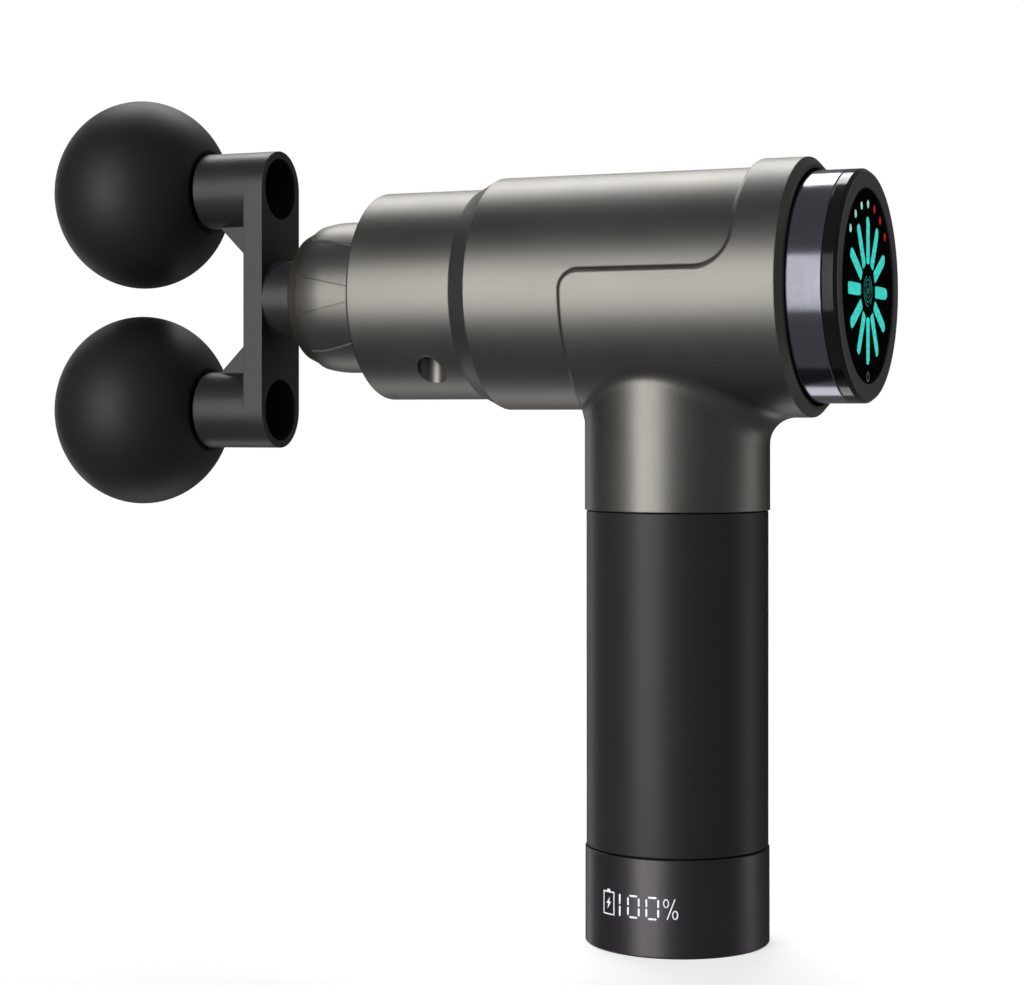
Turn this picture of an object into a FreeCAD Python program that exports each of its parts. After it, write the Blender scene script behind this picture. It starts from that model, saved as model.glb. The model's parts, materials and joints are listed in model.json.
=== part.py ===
import FreeCAD, Part
import math
import os

# Hand-held percussion massage gun with a forked double-ball head and a battery handle.
# Frame: millimetres, +Z up.  The origin is the centre of the handle's base, on the face it stands on.
# The barrel lies along X above the handle: the massage head is at -X and the round display at +X.

V = FreeCAD.Vector

# ---------------------------------------------------------------- driving sizes
# Heights of the stack, from the base upwards
BASE_H = 25.0            # base cap, from the standing face to the seam under the grip
GRIP_H = 87.8            # length of the soft grip
NECK_H = 57.4            # from the seam above the grip to the barrel's axis

# Handle
SLEEVE_R = 23.8          # outside of the silicone sleeve
SLEEVE_T = 0.9
BASE_R = 24.1            # outside of the base cap
NECK_R = 24.25           # outside of the housing's neck
NECK_WALL = 2.4
TUBE_WALL = 2.2          # wall of the battery tube under the sleeve
SPIGOT_H = 11.0          # how far the battery tube reaches up inside the neck

# Barrel
NOSE_X = -83.5           # front face of the barrel casing
STEP_FRONT_X = -53.2     # where the slim front of the casing starts to widen
STEP_BACK_X = -47.6      # where it has reached the main diameter
FRONT_R = 28.4
BARREL_R = 31.25
CASING_WALL = 2.2
CASING_END_X = 32.0      # hidden end of the casing inside the collar
NOSE_EDGE = 0.8          # rounding of the casing's front edge

# Rear housing: a saddle that cradles the barrel, the collar behind it and the neck below it
SADDLE_R = 33.4
SADDLE_FRONT_X = -20.5   # front border of the saddle on the barrel's flanks
SADDLE_TOP_Z = 4.1       # height of the saddle's level border above the barrel's axis
COLLAR_FRONT_X = 24.5    # where the saddle closes into a full collar
COLLAR_BACK_X = 36.7
COLLAR_RIM_X = 38.4
COLLAR_RIM_R = 31.6
BORDER_CORNER = 5.0      # corner at the front end of the level border
BORDER_SWEEP = 9.0       # corner where the level border climbs to the collar
BORDER_ROUND = 1.05      # the step is rounded by this much at its head and at its foot
HOOK_START_Z = -16.0     # below this height the front border sweeps forwards to the neck
HOOK_FOOT_X = -23.0
BLEND_FRONT = 2.2        # blend radius from the neck to the saddle, at the front
BLEND_BACK = 8.0         # and at the back

# Nose cone
NOSE_TIP_X = -107.1
NOSE_TIP_R = 17.6
NOSE_RING_BACK_X = -103.1
NOSE_RING_BACK_R = 19.2
NOSE_R = 20.3            # straight part of the cone
NOSE_CURVE_L = 8.0       # length over which it curves in to the ring
NOSE_OPENING_R = 12.8
PAD_H = 0.3              # the flank pads stand this proud, and the crown pads as much again
PAD_FRONT_X = -102.2
PAD_BACK_X = -83.7
VALLEY_FRONT = 5.25      # half height of the valley between the flank pads, at the front and at the back
VALLEY_BACK = 1.4
CROWN_FRONT = 13.2       # half width of the crown pads, at the front and at the back
CROWN_BACK = 16.8
PAD_CORNER = 1.2

# Display at the back of the barrel
RING_R = 29.8            # polished ring
RING_WALL = 2.6
RING_BACK_X = 47.6
BEZEL_FACE_X = 51.6
BEZEL_EDGE = 0.7         # chamfer of the bezel's outer edge
LENS_R = 24.8
LENS_T = 1.9
LENS_SET_IN = 0.3        # how far the glass lies below the bezel's face
MARK_T = 0.5             # depth of the lit windows in the glass
DIAL_DROP = 1.2          # the dial's centre is this far below the barrel's axis
BAR_COUNT = 12
BAR_IN_R = 6.8
BAR_OUT_R = 18.7
BAR_W = 3.3
DOT_ARC_R = 22.0
DOT_R = 1.05
DOT_STEP = 16.0          # degrees between dots
TOUCH_R = 4.2

# Drive: a vertical motor in the neck turns a crank, and a rod drives the piston
CRANK_R = 6.0            # crank radius, half of the stroke
ROD_LENGTH = 60.0
ROD_T = 8.0
ROD_GAP = 0.4            # clearance between the rod's plane and the crank below it
CRANK_T = 5.2
CRANK_DISC_R = 12.0
WEIGHT_R = 18.0          # counterweight's outer radius
PISTON_R = 12.0
PISTON_FRONT_X = -104.0
PISTON_TAIL = 6.5        # piston behind the wrist pin
SOCKET_R = 9.0
SOCKET_DEPTH = 22.0
WRIST_R = 3.0
GUIDE_BACK_X = -64.0
GUIDE_FRONT_X = -98.0
GUIDE_WALL = 2.5
RUN_FIT = 0.06           # radial clearance of running fits
SLIDE_FIT = 0.1          # radial clearance of casings and plugs that slide together
FRAME_FLANGE_R = 25.6
PLATE_T = 3.0
SHAFT_R = 2.5
BEARING_R = 5.0
BEARING_W = 4.0
CAN_R = 19.3
CAN_WALL = 1.0
CAN_H = 21.5
MAGNET_T = 1.6
AIR_GAP = 0.4
STATOR_H = 12.0

# Fork head
FORK_BACK_X = -118.7     # rear face of the cross bar
FORK_T = 5.9
ARM_R = 10.7
ARM_BORE_R = 8.7
ARM_SPREAD = 31.14       # from the barrel's axis to each arm's axis
ARM_END_X = -141.0
ARM_FLOOR_T = 4.0
RIB_REACH = 12.0         # legs of the triangular ribs between bar and arms
RIB_T = 5.0
PLUG_R = 8.9
PLUG_LENGTH = 19.5
ORING_R = 1.0
BALL_R = 27.05           # balls, slightly flattened along the barrel
BALL_HALF_X = 25.85
BALL_X = -162.8
BALL_WALL = 2.6
INSERT_R = 6.0           # threaded insert in each ball
INSERT_LENGTH = 15.0
BALL_SCREW_R = 2.5

# Battery pack
CELL_R = 9.2
CELL_H = 65.2
CELL_GAP = 0.15
DIGIT_H = 6.0            # charge read-out on the base cap
DIGIT_W = 3.7
DIGIT_STROKE = 0.51
DIGIT_MID_Z = 12.7
INLAY_PROUD = 0.03
INLAY_DEPTH = 0.25

# ---------------------------------------------------------------- places that follow from them
SEAM_BASE_Z = BASE_H
SEAM_GRIP_Z = BASE_H + GRIP_H
AXIS_Z = BASE_H + GRIP_H + NECK_H
NECK_BORE_R = NECK_R - NECK_WALL
TUBE_R = SLEEVE_R - SLEEVE_T - 0.05
SPIGOT_R = NECK_BORE_R - SLIDE_FIT
TUBE_BORE_R = TUBE_R - TUBE_WALL
SPIGOT_TOP_Z = SEAM_GRIP_Z + SPIGOT_H
BARREL_BORE_R = BARREL_R - CASING_WALL
FRONT_BORE_R = FRONT_R - CASING_WALL
RING_BORE_R = RING_R - RING_WALL
RING_FRONT_X = CASING_END_X + 1.0
CRANK_TOP_Z = AXIS_Z - ROD_T / 2 - ROD_GAP
CRANK_BOTTOM_Z = CRANK_TOP_Z - CRANK_T
PLATE_TOP_Z = CRANK_BOTTOM_Z - 1.4
PLATE_BOTTOM_Z = PLATE_TOP_Z - PLATE_T
FLANGE_T = 2.5
CAN_TOP_Z = PLATE_BOTTOM_Z - FLANGE_T - 1.0
CAN_BOTTOM_Z = CAN_TOP_Z - CAN_H
HUB_R = BEARING_R + 1.6
CRANK_X = CRANK_R        # the piston rests at the back of its stroke, with the crank pin at +X
WRIST_X = CRANK_X - ROD_LENGTH
PISTON_BACK_X = WRIST_X + PISTON_TAIL
LENS_BACK_X = BEZEL_FACE_X - LENS_SET_IN - LENS_T
BOARD_T = 1.6
RAIL_IN_Y = 20.6
RAIL_OUT_Y = 24.4
RAIL_HALF_H = 5.0
FRAME_BACK_X = 23.0
SCREW_HOLE_X = (STEP_FRONT_X + NOSE_X) / 2 + 5.95
SCREW_HOLE_Y = 18.8
ACCESS_R = 3.8
SCREW_SEAT_Z = AXIS_Z - 14.5   # top of the access holes, where the screws clamp the casing to the frame


# ---------------------------------------------------------------- helpers
def rod_x(x0, x1, r_out, r_in=0.0, y=0.0, z=None):
    """Round bar or tube along X, from x0 to x1."""
    z = AXIS_Z if z is None else z
    bar = Part.makeCylinder(r_out, x1 - x0, V(x0, y, z), V(1, 0, 0))
    if r_in:
        bar = bar.cut(Part.makeCylinder(r_in, x1 - x0, V(x0, y, z), V(1, 0, 0)))
    return bar


def rod_z(z0, z1, r_out, r_in=0.0, x=0.0, y=0.0):
    """Round bar or tube along Z, from z0 to z1."""
    bar = Part.makeCylinder(r_out, z1 - z0, V(x, y, z0))
    if r_in:
        bar = bar.cut(Part.makeCylinder(r_in, z1 - z0, V(x, y, z0)))
    return bar


def box(x0, x1, y0, y1, z0, z1):
    return Part.makeBox(x1 - x0, y1 - y0, z1 - z0, V(x0, y0, z0))


def lathe_x(profile):
    """Turns a closed outline of (x, radius) points about the barrel's axis."""
    points = [V(x, 0, AXIS_Z + r) for x, r in profile]
    face = Part.Face(Part.makePolygon(points + [points[0]]))
    return face.revolve(V(0, 0, AXIS_Z), V(1, 0, 0), 360)


def lathe_z(profile):
    """Turns a closed outline of (radius, z) points about the handle's axis."""
    points = [V(r, 0, z) for r, z in profile]
    face = Part.Face(Part.makePolygon(points + [points[0]]))
    return face.revolve(V(0, 0, 0), V(0, 0, 1), 360)


def prism(points, along):
    """Extrudes a closed flat outline of vectors along a vector."""
    return Part.Face(Part.makePolygon(points + [points[0]])).extrude(along)


def join(shapes):
    return shapes[0].multiFuse(list(shapes[1:])).removeSplitter()


def about_barrel(shape, degrees):
    turned = shape.copy()
    turned.rotate(V(0, 0, AXIS_Z), V(1, 0, 0), degrees)
    return turned


def about_handle(shape, degrees):
    turned = shape.copy()
    turned.rotate(V(0, 0, 0), V(0, 0, 1), degrees)
    return turned


def mirror_y(shape):
    return shape.mirror(V(0, 0, 0), V(0, 1, 0))


def samples(edge, count=7):
    first, last = edge.ParameterRange
    return [edge.valueAt(first + (last - first) * i / (count - 1)) for i in range(count)]


def barrel_radius(point):
    return math.hypot(point.y, point.z - AXIS_Z)


def handle_radius(point):
    return math.hypot(point.x, point.y)


def near(value, target, tolerance=1e-3):
    return abs(value - target) < tolerance


def screw_z(x, y, z_head, head_r, head_t, shank_r, length, up=True):
    """Pan-head screw on a vertical axis: its head's outer face is at z_head and its shank points up or down."""
    if up:
        head = rod_z(z_head, z_head + head_t, head_r, 0, x, y)
        shank = rod_z(z_head + head_t, z_head + head_t + length, shank_r, 0, x, y)
        slot_z = z_head
    else:
        head = rod_z(z_head - head_t, z_head, head_r, 0, x, y)
        shank = rod_z(z_head - head_t - length, z_head - head_t, shank_r, 0, x, y)
        slot_z = z_head - 0.5 * head_t
    cross = [box(x - 0.6 * head_r, x + 0.6 * head_r, y - 0.15 * head_r, y + 0.15 * head_r,
                 slot_z, slot_z + 0.5 * head_t),
             box(x - 0.15 * head_r, x + 0.15 * head_r, y - 0.6 * head_r, y + 0.6 * head_r,
                 slot_z, slot_z + 0.5 * head_t)]
    return head.fuse(shank).cut(cross[0]).cut(cross[1])


def screw_x(y, z, x_head, head_r, head_t, shank_r, length, towards=-1):
    """Pan-head screw along X: its head's outer face is at x_head and its shank points towards +X or -X."""
    x1 = x_head + towards * head_t
    x2 = x1 + towards * length
    head = rod_x(min(x_head, x1), max(x_head, x1), head_r, 0, y, z)
    shank = rod_x(min(x1, x2), max(x1, x2), shank_r, 0, y, z)
    s0, s1 = sorted((x_head, x_head + towards * 0.5 * head_t))
    cross = [box(s0, s1, y - 0.6 * head_r, y + 0.6 * head_r, z - 0.15 * head_r, z + 0.15 * head_r),
             box(s0, s1, y - 0.15 * head_r, y + 0.15 * head_r, z - 0.6 * head_r, z + 0.6 * head_r)]
    return head.fuse(shank).cut(cross[0]).cut(cross[1])


# ---------------------------------------------------------------- casing
def saddle_border():
    """Side outline, in the XZ plane, of everything that the saddle leaves open round the barrel."""
    z = AXIS_Z
    top = z + SADDLE_TOP_Z
    half = math.sqrt(0.5)
    sweep_c = V(COLLAR_FRONT_X - BORDER_SWEEP, 0, top + BORDER_SWEEP)
    corner_c = V(SADDLE_FRONT_X + BORDER_CORNER, 0, top - BORDER_CORNER)
    hook_z = z + HOOK_START_Z
    foot = V(HOOK_FOOT_X, 0, z - SADDLE_R - 0.3)
    drop, reach = hook_z - foot.z, SADDLE_FRONT_X - foot.x
    hook_r = (reach * reach + drop * drop) / (2 * reach)
    hook_c = V(SADDLE_FRONT_X - hook_r, 0, hook_z)
    turn = math.atan2(drop, hook_r - reach) / 2
    far_x, far_z = NOSE_X, SADDLE_R * 1.5
    edges = [
        Part.makeLine(V(COLLAR_FRONT_X, 0, z + far_z), V(COLLAR_FRONT_X, 0, sweep_c.z)),
        Part.Arc(V(COLLAR_FRONT_X, 0, sweep_c.z),
                 sweep_c + V(half, 0, -half) * BORDER_SWEEP,
                 V(sweep_c.x, 0, top)).toShape(),
        Part.makeLine(V(sweep_c.x, 0, top), V(corner_c.x, 0, top)),
        Part.Arc(V(corner_c.x, 0, top),
                 corner_c + V(-half, 0, half) * BORDER_CORNER,
                 V(SADDLE_FRONT_X, 0, corner_c.z)).toShape(),
        Part.makeLine(V(SADDLE_FRONT_X, 0, corner_c.z), V(SADDLE_FRONT_X, 0, hook_z)),
        Part.Arc(V(SADDLE_FRONT_X, 0, hook_z),
                 hook_c + V(math.cos(turn), 0, -math.sin(turn)) * hook_r, foot).toShape(),
    ]
    closing = [
        Part.makeLine(foot, V(foot.x, 0, z - far_z)),
        Part.makeLine(V(foot.x, 0, z - far_z), V(far_x, 0, z - far_z)),
        Part.makeLine(V(far_x, 0, z - far_z), V(far_x, 0, z + far_z)),
        Part.makeLine(V(far_x, 0, z + far_z), V(COLLAR_FRONT_X, 0, z + far_z)),
    ]
    return Part.Wire(edges), Part.Face(Part.Wire(edges + closing))


def blended(core, core_r, front, back):
    """Round core along X with the neck below it, and a soft blend where they meet."""
    half = core.fuse(rod_z(SEAM_GRIP_Z, AXIS_Z, NECK_R)).common(box(-100, 100, -100, 0, 0, 300))
    seam = [e for e in half.Edges
            if all(near(barrel_radius(p), core_r) and near(handle_radius(p), NECK_R) for p in samples(e))]
    for edge in seam:
        forwards = edge.valueAt(edge.FirstParameter).x > edge.valueAt(edge.LastParameter).x
        half = half.makeFillet(back if forwards else front, front if forwards else back, [edge])
    return half.fuse(mirror_y(half)).removeSplitter()


def casing_envelope():
    """Outside of the barrel: slim front, cone and main tube."""
    casing = lathe_x([(NOSE_X, 0), (NOSE_X, FRONT_R), (STEP_FRONT_X, FRONT_R), (STEP_BACK_X, BARREL_R),
                      (CASING_END_X, BARREL_R), (CASING_END_X, 0)])
    edge = [e for e in casing.Edges
            if all(near(p.x, NOSE_X) and near(barrel_radius(p), FRONT_R) for p in samples(e))]
    return casing.makeFillet(NOSE_EDGE, edge)


def housing_outside():
    """Barrel, saddle, collar and neck in one, with an S-shaped step along the saddle's border."""
    saddle = blended(lathe_x([
        (SADDLE_FRONT_X - 15, 0), (SADDLE_FRONT_X - 15, SADDLE_R), (COLLAR_BACK_X, SADDLE_R),
        (COLLAR_RIM_X - 0.1, COLLAR_RIM_R), (COLLAR_RIM_X, COLLAR_RIM_R - 0.2), (COLLAR_RIM_X, 0)]),
        SADDLE_R, BLEND_FRONT, BLEND_BACK)
    path, window = saddle_border()
    opening = window.extrude(V(0, 120, 0))
    opening.translate(V(0, -60, 0))
    body = casing_envelope().fuse(saddle.cut(opening)).removeSplitter()
    for radius in (BARREL_R, SADDLE_R):
        border = [e for e in body.Edges
                  if all(near(barrel_radius(p), radius)
                         and Part.Vertex(p.x, 0, p.z).distToShape(path)[0] < 1e-3 for p in samples(e))]
        body = body.makeFillet(BORDER_ROUND, border)
    tube = lathe_x([(-40, 0), (-40, BARREL_R), (CASING_END_X - 2, BARREL_R), (CASING_END_X - 2, 0)])
    throat = blended(tube, BARREL_R, BLEND_FRONT, BLEND_FRONT)
    return body.fuse(throat.common(box(-100, -12, -100, 100, 0, AXIS_Z - 20))).removeSplitter()


def main_housing():
    """One-piece housing, bored out from the back, from below and at the nose."""
    inset = NOSE_X + CASING_WALL
    body = housing_outside().cut(lathe_x([
        (inset, 0), (inset, FRONT_BORE_R), (STEP_FRONT_X + 0.8, FRONT_BORE_R),
        (STEP_BACK_X + 0.8, BARREL_BORE_R), (CASING_END_X, BARREL_BORE_R), (CASING_END_X, RING_R + 0.7),
        (COLLAR_RIM_X + 1, RING_R + 0.7), (COLLAR_RIM_X + 1, 0)]))
    body = body.cut(rod_x(NOSE_X - 1, inset + 1, NOSE_R + 2 * PAD_H + SLIDE_FIT))
    body = body.cut(rod_z(SEAM_GRIP_Z - 1, AXIS_Z, NECK_BORE_R))
    for side in (-1, 1):
        y = side * SCREW_HOLE_Y
        collar = rod_z(AXIS_Z - FRONT_R, SCREW_SEAT_Z - 0.2, ACCESS_R + 1.2, 0, SCREW_HOLE_X, y)
        body = body.fuse(collar.common(rod_x(NOSE_X, STEP_FRONT_X, FRONT_R - 0.5)))
        body = body.cut(rod_z(AXIS_Z - FRONT_R, SCREW_SEAT_Z, ACCESS_R, 0, SCREW_HOLE_X, y))
    return body.removeSplitter()


def nose_outline(extra=0.0):
    """Outer outline of the cone behind its front ring, as (x, radius) points."""
    run, rise, steps = NOSE_CURVE_L, NOSE_R - NOSE_RING_BACK_R + 0.05, 6
    curve = [(NOSE_RING_BACK_X + run * i / steps, NOSE_R - rise * (1 - i / steps) ** 2 + extra)
             for i in range(steps + 1)]
    return curve + [(PAD_BACK_X, NOSE_R + extra)]


def nose_layer(extra):
    """Sleeve that follows the cone and stands proud of it."""
    return lathe_x(nose_outline(extra) + [(PAD_BACK_X, 17.5), (-97.5, 17.5), (NOSE_RING_BACK_X, 16.0)])


def pad_block(front, back, reach, along, axis):
    """Tapered block with a rounded front corner; front and back are its edge's offsets at the two ends."""
    x0, x1 = PAD_FRONT_X, PAD_BACK_X
    flat = [(x0, front), (x1, back), (x1, reach), (x0, reach)]
    points = [V(x, 0, AXIS_Z + w) if axis == "z" else V(x, w, AXIS_Z) for x, w in flat]
    block = prism(points, along)
    corner = [e for e in block.Edges if all(near(p.x, x0) for p in samples(e))
              and all(near((p.z - AXIS_Z) if axis == "z" else p.y, front) for p in samples(e))]
    return block.makeFillet(PAD_CORNER, corner)


def nose_cone():
    """Cone in front of the barrel, with raised pads and a flange that the casing traps from behind."""
    flange_x = NOSE_X + CASING_WALL
    pocket_r = PISTON_R + GUIDE_WALL + 3.2
    body = lathe_x([(NOSE_RING_BACK_X, NOSE_OPENING_R)] + nose_outline()[:-1] +
                   [(flange_x, NOSE_R), (flange_x, FRONT_BORE_R - 0.2), (flange_x + 2.5, FRONT_BORE_R - 0.2),
                    (flange_x + 2.5, pocket_r), (GUIDE_FRONT_X, pocket_r), (GUIDE_FRONT_X, NOSE_OPENING_R)])
    width = V(0, 60, 0)
    flank = pad_block(VALLEY_FRONT, VALLEY_BACK, 24.0, width, "z")
    flank.translate(V(0, -30, 0))
    flank = nose_layer(PAD_H).common(flank)
    crown = pad_block(-CROWN_FRONT, -CROWN_BACK, 0.0, V(0, 0, 24), "y")
    crown = nose_layer(2 * PAD_H).common(crown.fuse(mirror_y(crown)))
    pads = flank.fuse(crown)
    return join([body, pads, about_barrel(pads, 180)])


def nose_ring():
    """Dark ring at the cone's tip that the piston passes through."""
    return lathe_x([(NOSE_TIP_X, NOSE_OPENING_R), (NOSE_TIP_X, NOSE_TIP_R - 0.6), (NOSE_TIP_X + 0.5, NOSE_TIP_R),
                    (NOSE_RING_BACK_X, NOSE_RING_BACK_R), (NOSE_RING_BACK_X, NOSE_OPENING_R)])


def nose_wiper():
    """Felt wiper ring round the piston, in a pocket between the cone and the guide."""
    return rod_x(GUIDE_FRONT_X + 0.1, GUIDE_FRONT_X + 3.0, PISTON_R + GUIDE_WALL + 2.9, PISTON_R + 0.15)


# ---------------------------------------------------------------- frame and guide
def guide_bush():
    """Plain sleeve bearing that the piston slides in."""
    return rod_x(GUIDE_FRONT_X + 3.2, GUIDE_BACK_X, PISTON_R + GUIDE_WALL, PISTON_R + RUN_FIT)


def motor_frame():
    """Chassis: guide housing, two side rails, the motor's plate and the ring that carries the boards."""
    guide_r = PISTON_R + GUIDE_WALL
    guide = rod_x(GUIDE_FRONT_X + 3.2, GUIDE_BACK_X, guide_r + 2.8, guide_r)
    flange = rod_x(GUIDE_BACK_X - 2.0, GUIDE_BACK_X + 2.0, FRAME_FLANGE_R, guide_r)
    rails = [box(GUIDE_BACK_X, FRAME_BACK_X, y0, y1, AXIS_Z - RAIL_HALF_H, AXIS_Z + RAIL_HALF_H)
             for y0, y1 in ((-RAIL_OUT_Y, -RAIL_IN_Y), (RAIL_IN_Y, RAIL_OUT_Y))]
    drops = [box(-14, 14, y0, y1, PLATE_BOTTOM_Z, AXIS_Z)
             for y0, y1 in ((-RAIL_OUT_Y + 1.2, -RAIL_IN_Y), (RAIL_IN_Y, RAIL_OUT_Y - 1.2))]
    plate = box(-17, 17, -RAIL_IN_Y - 1, RAIL_IN_Y + 1, PLATE_BOTTOM_Z, PLATE_TOP_Z)
    plate = plate.cut(rod_z(PLATE_BOTTOM_Z, PLATE_TOP_Z, HUB_R + 0.1))
    ring = rod_x(FRAME_BACK_X - 3.0, FRAME_BACK_X, RING_BORE_R - 0.3, 21.0)
    feet = [rod_x(FRAME_BACK_X, FRAME_BACK_X + 3.0, 3.0, 1.0, 24 * math.cos(a), AXIS_Z + 24 * math.sin(a))
            for a in (math.radians(45 + 90 * i) for i in range(4))]
    frame = join([guide, flange, plate, ring] + rails + drops + feet)
    keep = rod_x(STEP_FRONT_X, FRAME_BACK_X + 5, BARREL_BORE_R - 0.6)
    frame = frame.common(keep.fuse(rod_x(GUIDE_FRONT_X, STEP_FRONT_X, FRONT_BORE_R - 0.5)))
    for a in motor_screw_angles():
        x, y = 12.0 * math.cos(a), 12.0 * math.sin(a)
        frame = frame.cut(rod_z(PLATE_BOTTOM_Z, PLATE_TOP_Z, 1.6, 0, x, y))
    for side in (-1, 1):
        y = side * SCREW_HOLE_Y
        reach = (FRONT_BORE_R - 0.5, SCREW_SEAT_Z)
        frame = frame.cut(rod_z(AXIS_Z - reach[0], reach[1], ACCESS_R + 1.4, 0, SCREW_HOLE_X, y))
        boss = rod_z(SCREW_SEAT_Z, AXIS_Z - 5, 3.2, 0, SCREW_HOLE_X, y)
        frame = frame.fuse(boss.common(rod_x(NOSE_X, STEP_FRONT_X, FRONT_BORE_R - 0.5)))
        frame = frame.cut(rod_z(SCREW_SEAT_Z, AXIS_Z - 6, 1.25, 0, SCREW_HOLE_X, y))
    return frame.removeSplitter()


def motor_screw_angles():
    return [math.radians(45 + 90 * i) for i in range(4)]


def barrel_screws():
    """Two screws from below that hold the casing's front to the frame, sunk in the access holes."""
    return [screw_z(SCREW_HOLE_X, side * SCREW_HOLE_Y, SCREW_SEAT_Z - 2.0, 3.1, 2.0, 1.2, 8.0)
            for side in (-1, 1)]


def motor_screws():
    return [screw_z(12.0 * math.cos(a), 12.0 * math.sin(a), PLATE_TOP_Z + 1.0, 2.3, 1.0, 1.4, PLATE_T + 1.6, up=False)
            for a in motor_screw_angles()]


# ---------------------------------------------------------------- motor
def motor_base():
    """Motor flange with its hub tube, which carries both bearings and the stator."""
    flange = rod_z(PLATE_BOTTOM_Z - FLANGE_T, PLATE_BOTTOM_Z, 16.0)
    hub = rod_z(CAN_TOP_Z - STATOR_H - 3.0, PLATE_TOP_Z - 0.4, HUB_R)
    body = flange.fuse(hub)
    body = body.cut(rod_z(CAN_BOTTOM_Z, PLATE_TOP_Z, SHAFT_R + 0.8))
    body = body.cut(rod_z(PLATE_TOP_Z - 0.4 - BEARING_W, PLATE_TOP_Z, BEARING_R))
    body = body.cut(rod_z(CAN_TOP_Z - STATOR_H - 4.0, CAN_TOP_Z - STATOR_H - 3.0 + BEARING_W, BEARING_R))
    for a in motor_screw_angles():
        body = body.cut(rod_z(PLATE_BOTTOM_Z - FLANGE_T, PLATE_BOTTOM_Z, 1.4, 0, 12.0 * math.cos(a), 12.0 * math.sin(a)))
    return body


def bearing(z0, r_in, r_out, width, x=0.0):
    """Shielded ball bearing: two races and the shields, as one ring with shallow faces."""
    ring = rod_z(z0, z0 + width, r_out, r_in, x)
    lip = (r_out - r_in) * 0.28
    for z in (z0, z0 + width - 0.25):
        ring = ring.cut(rod_z(z, z + 0.25, r_out - lip, r_in + lip, x))
    return ring


def motor_bearings():
    return [bearing(PLATE_TOP_Z - 0.4 - BEARING_W, SHAFT_R, BEARING_R, BEARING_W),
            bearing(CAN_TOP_Z - STATOR_H - 3.0, SHAFT_R, BEARING_R, BEARING_W)]


STATOR_R = CAN_R - CAN_WALL - MAGNET_T - AIR_GAP
STATOR_TOP_Z = CAN_TOP_Z - 3.0
TOOTH_COUNT = 9


def stator_core():
    """Laminated stator: a ring on the hub with T-shaped teeth."""
    z0, z1 = STATOR_TOP_Z - STATOR_H + 3.0, STATOR_TOP_Z - 1.0
    core = rod_z(z0, z1, HUB_R + 2.0, HUB_R)
    tooth = box(HUB_R + 1.0, STATOR_R - 1.2, -1.0, 1.0, z0, z1)
    cap = rod_z(z0, z1, STATOR_R, STATOR_R - 1.6).common(box(0, STATOR_R + 1, -3.6, 3.6, z0, z1))
    teeth = []
    for i in range(TOOTH_COUNT):
        teeth.append(about_handle(tooth.fuse(cap), 360.0 * i / TOOTH_COUNT))
    return join([core] + teeth)


def stator_windings():
    """Copper coils, one round each tooth."""
    z0, z1 = STATOR_TOP_Z - STATOR_H + 3.0, STATOR_TOP_Z - 1.0
    inner, outer = HUB_R + 2.3, STATOR_R - 1.9
    coil = box(inner, outer, -1.8, 1.8, z0 - 1.2, z1 + 1.2)
    coil = coil.cut(box(inner - 1, outer + 1, -1.05, 1.05, z0 - 0.05, z1 + 0.05))
    return [about_handle(coil, 360.0 * i / TOOTH_COUNT) for i in range(TOOTH_COUNT)]


def rotor_can():
    """Outrunner bell, open at the top, with its end plate on the shaft."""
    can = rod_z(CAN_BOTTOM_Z, CAN_TOP_Z, CAN_R, CAN_R - CAN_WALL)
    end = rod_z(CAN_BOTTOM_Z, CAN_BOTTOM_Z + 1.6, CAN_R)
    boss = rod_z(CAN_BOTTOM_Z + 1.6, CAN_BOTTOM_Z + 4.2, 4.6)
    can = can.fuse(end).fuse(boss).cut(rod_z(CAN_BOTTOM_Z, CAN_BOTTOM_Z + 5.0, SHAFT_R))
    for i in range(6):
        can = can.cut(about_handle(rod_z(CAN_BOTTOM_Z, CAN_BOTTOM_Z + 1.6, 2.6, 0, 11.5), 60.0 * i))
    return can


def rotor_magnets():
    """Ring of magnet segments inside the bell."""
    ring = rod_z(CAN_BOTTOM_Z + 2.2, CAN_TOP_Z - 1.0, CAN_R - CAN_WALL, CAN_R - CAN_WALL - MAGNET_T)
    gap = box(0, CAN_R, -0.35, 0.35, CAN_BOTTOM_Z, CAN_TOP_Z)
    poles = 12
    for i in range(poles):
        ring = ring.cut(about_handle(gap, 360.0 * (i + 0.5) / poles))
    return ring.Solids


def motor_shaft():
    return rod_z(CAN_BOTTOM_Z, CRANK_TOP_Z - 0.2, SHAFT_R)


def crank():
    """Crank disc with its pin seat on one side and the counterweight on the other."""
    disc = rod_z(CRANK_BOTTOM_Z, CRANK_TOP_Z, CRANK_DISC_R)
    sector = rod_z(CRANK_BOTTOM_Z, CRANK_TOP_Z, WEIGHT_R).common(
        prism([V(0, 0, CRANK_BOTTOM_Z), V(-30, -24, CRANK_BOTTOM_Z), V(-30, 24, CRANK_BOTTOM_Z)], V(0, 0, CRANK_T)))
    body = disc.fuse(sector).removeSplitter().cut(rod_z(CRANK_BOTTOM_Z, CRANK_TOP_Z, SHAFT_R))
    body = body.cut(rod_z(CRANK_BOTTOM_Z + 1.0, CRANK_TOP_Z, 2.0, 0, CRANK_X))
    return body.cut(crank_radial(0, CRANK_DISC_R + 1, 1.5))


def crank_radial(y0, y1, r):
    """Round bar across the crank's middle plane, along Y."""
    return Part.makeCylinder(r, y1 - y0, V(0, y0, (CRANK_BOTTOM_Z + CRANK_TOP_Z) / 2), V(0, 1, 0))


def crank_set_screw():
    screw = crank_radial(SHAFT_R, SHAFT_R + 6.0, 1.5)
    return screw.cut(crank_radial(SHAFT_R + 4.0, SHAFT_R + 7.0, 0.7))


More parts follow.
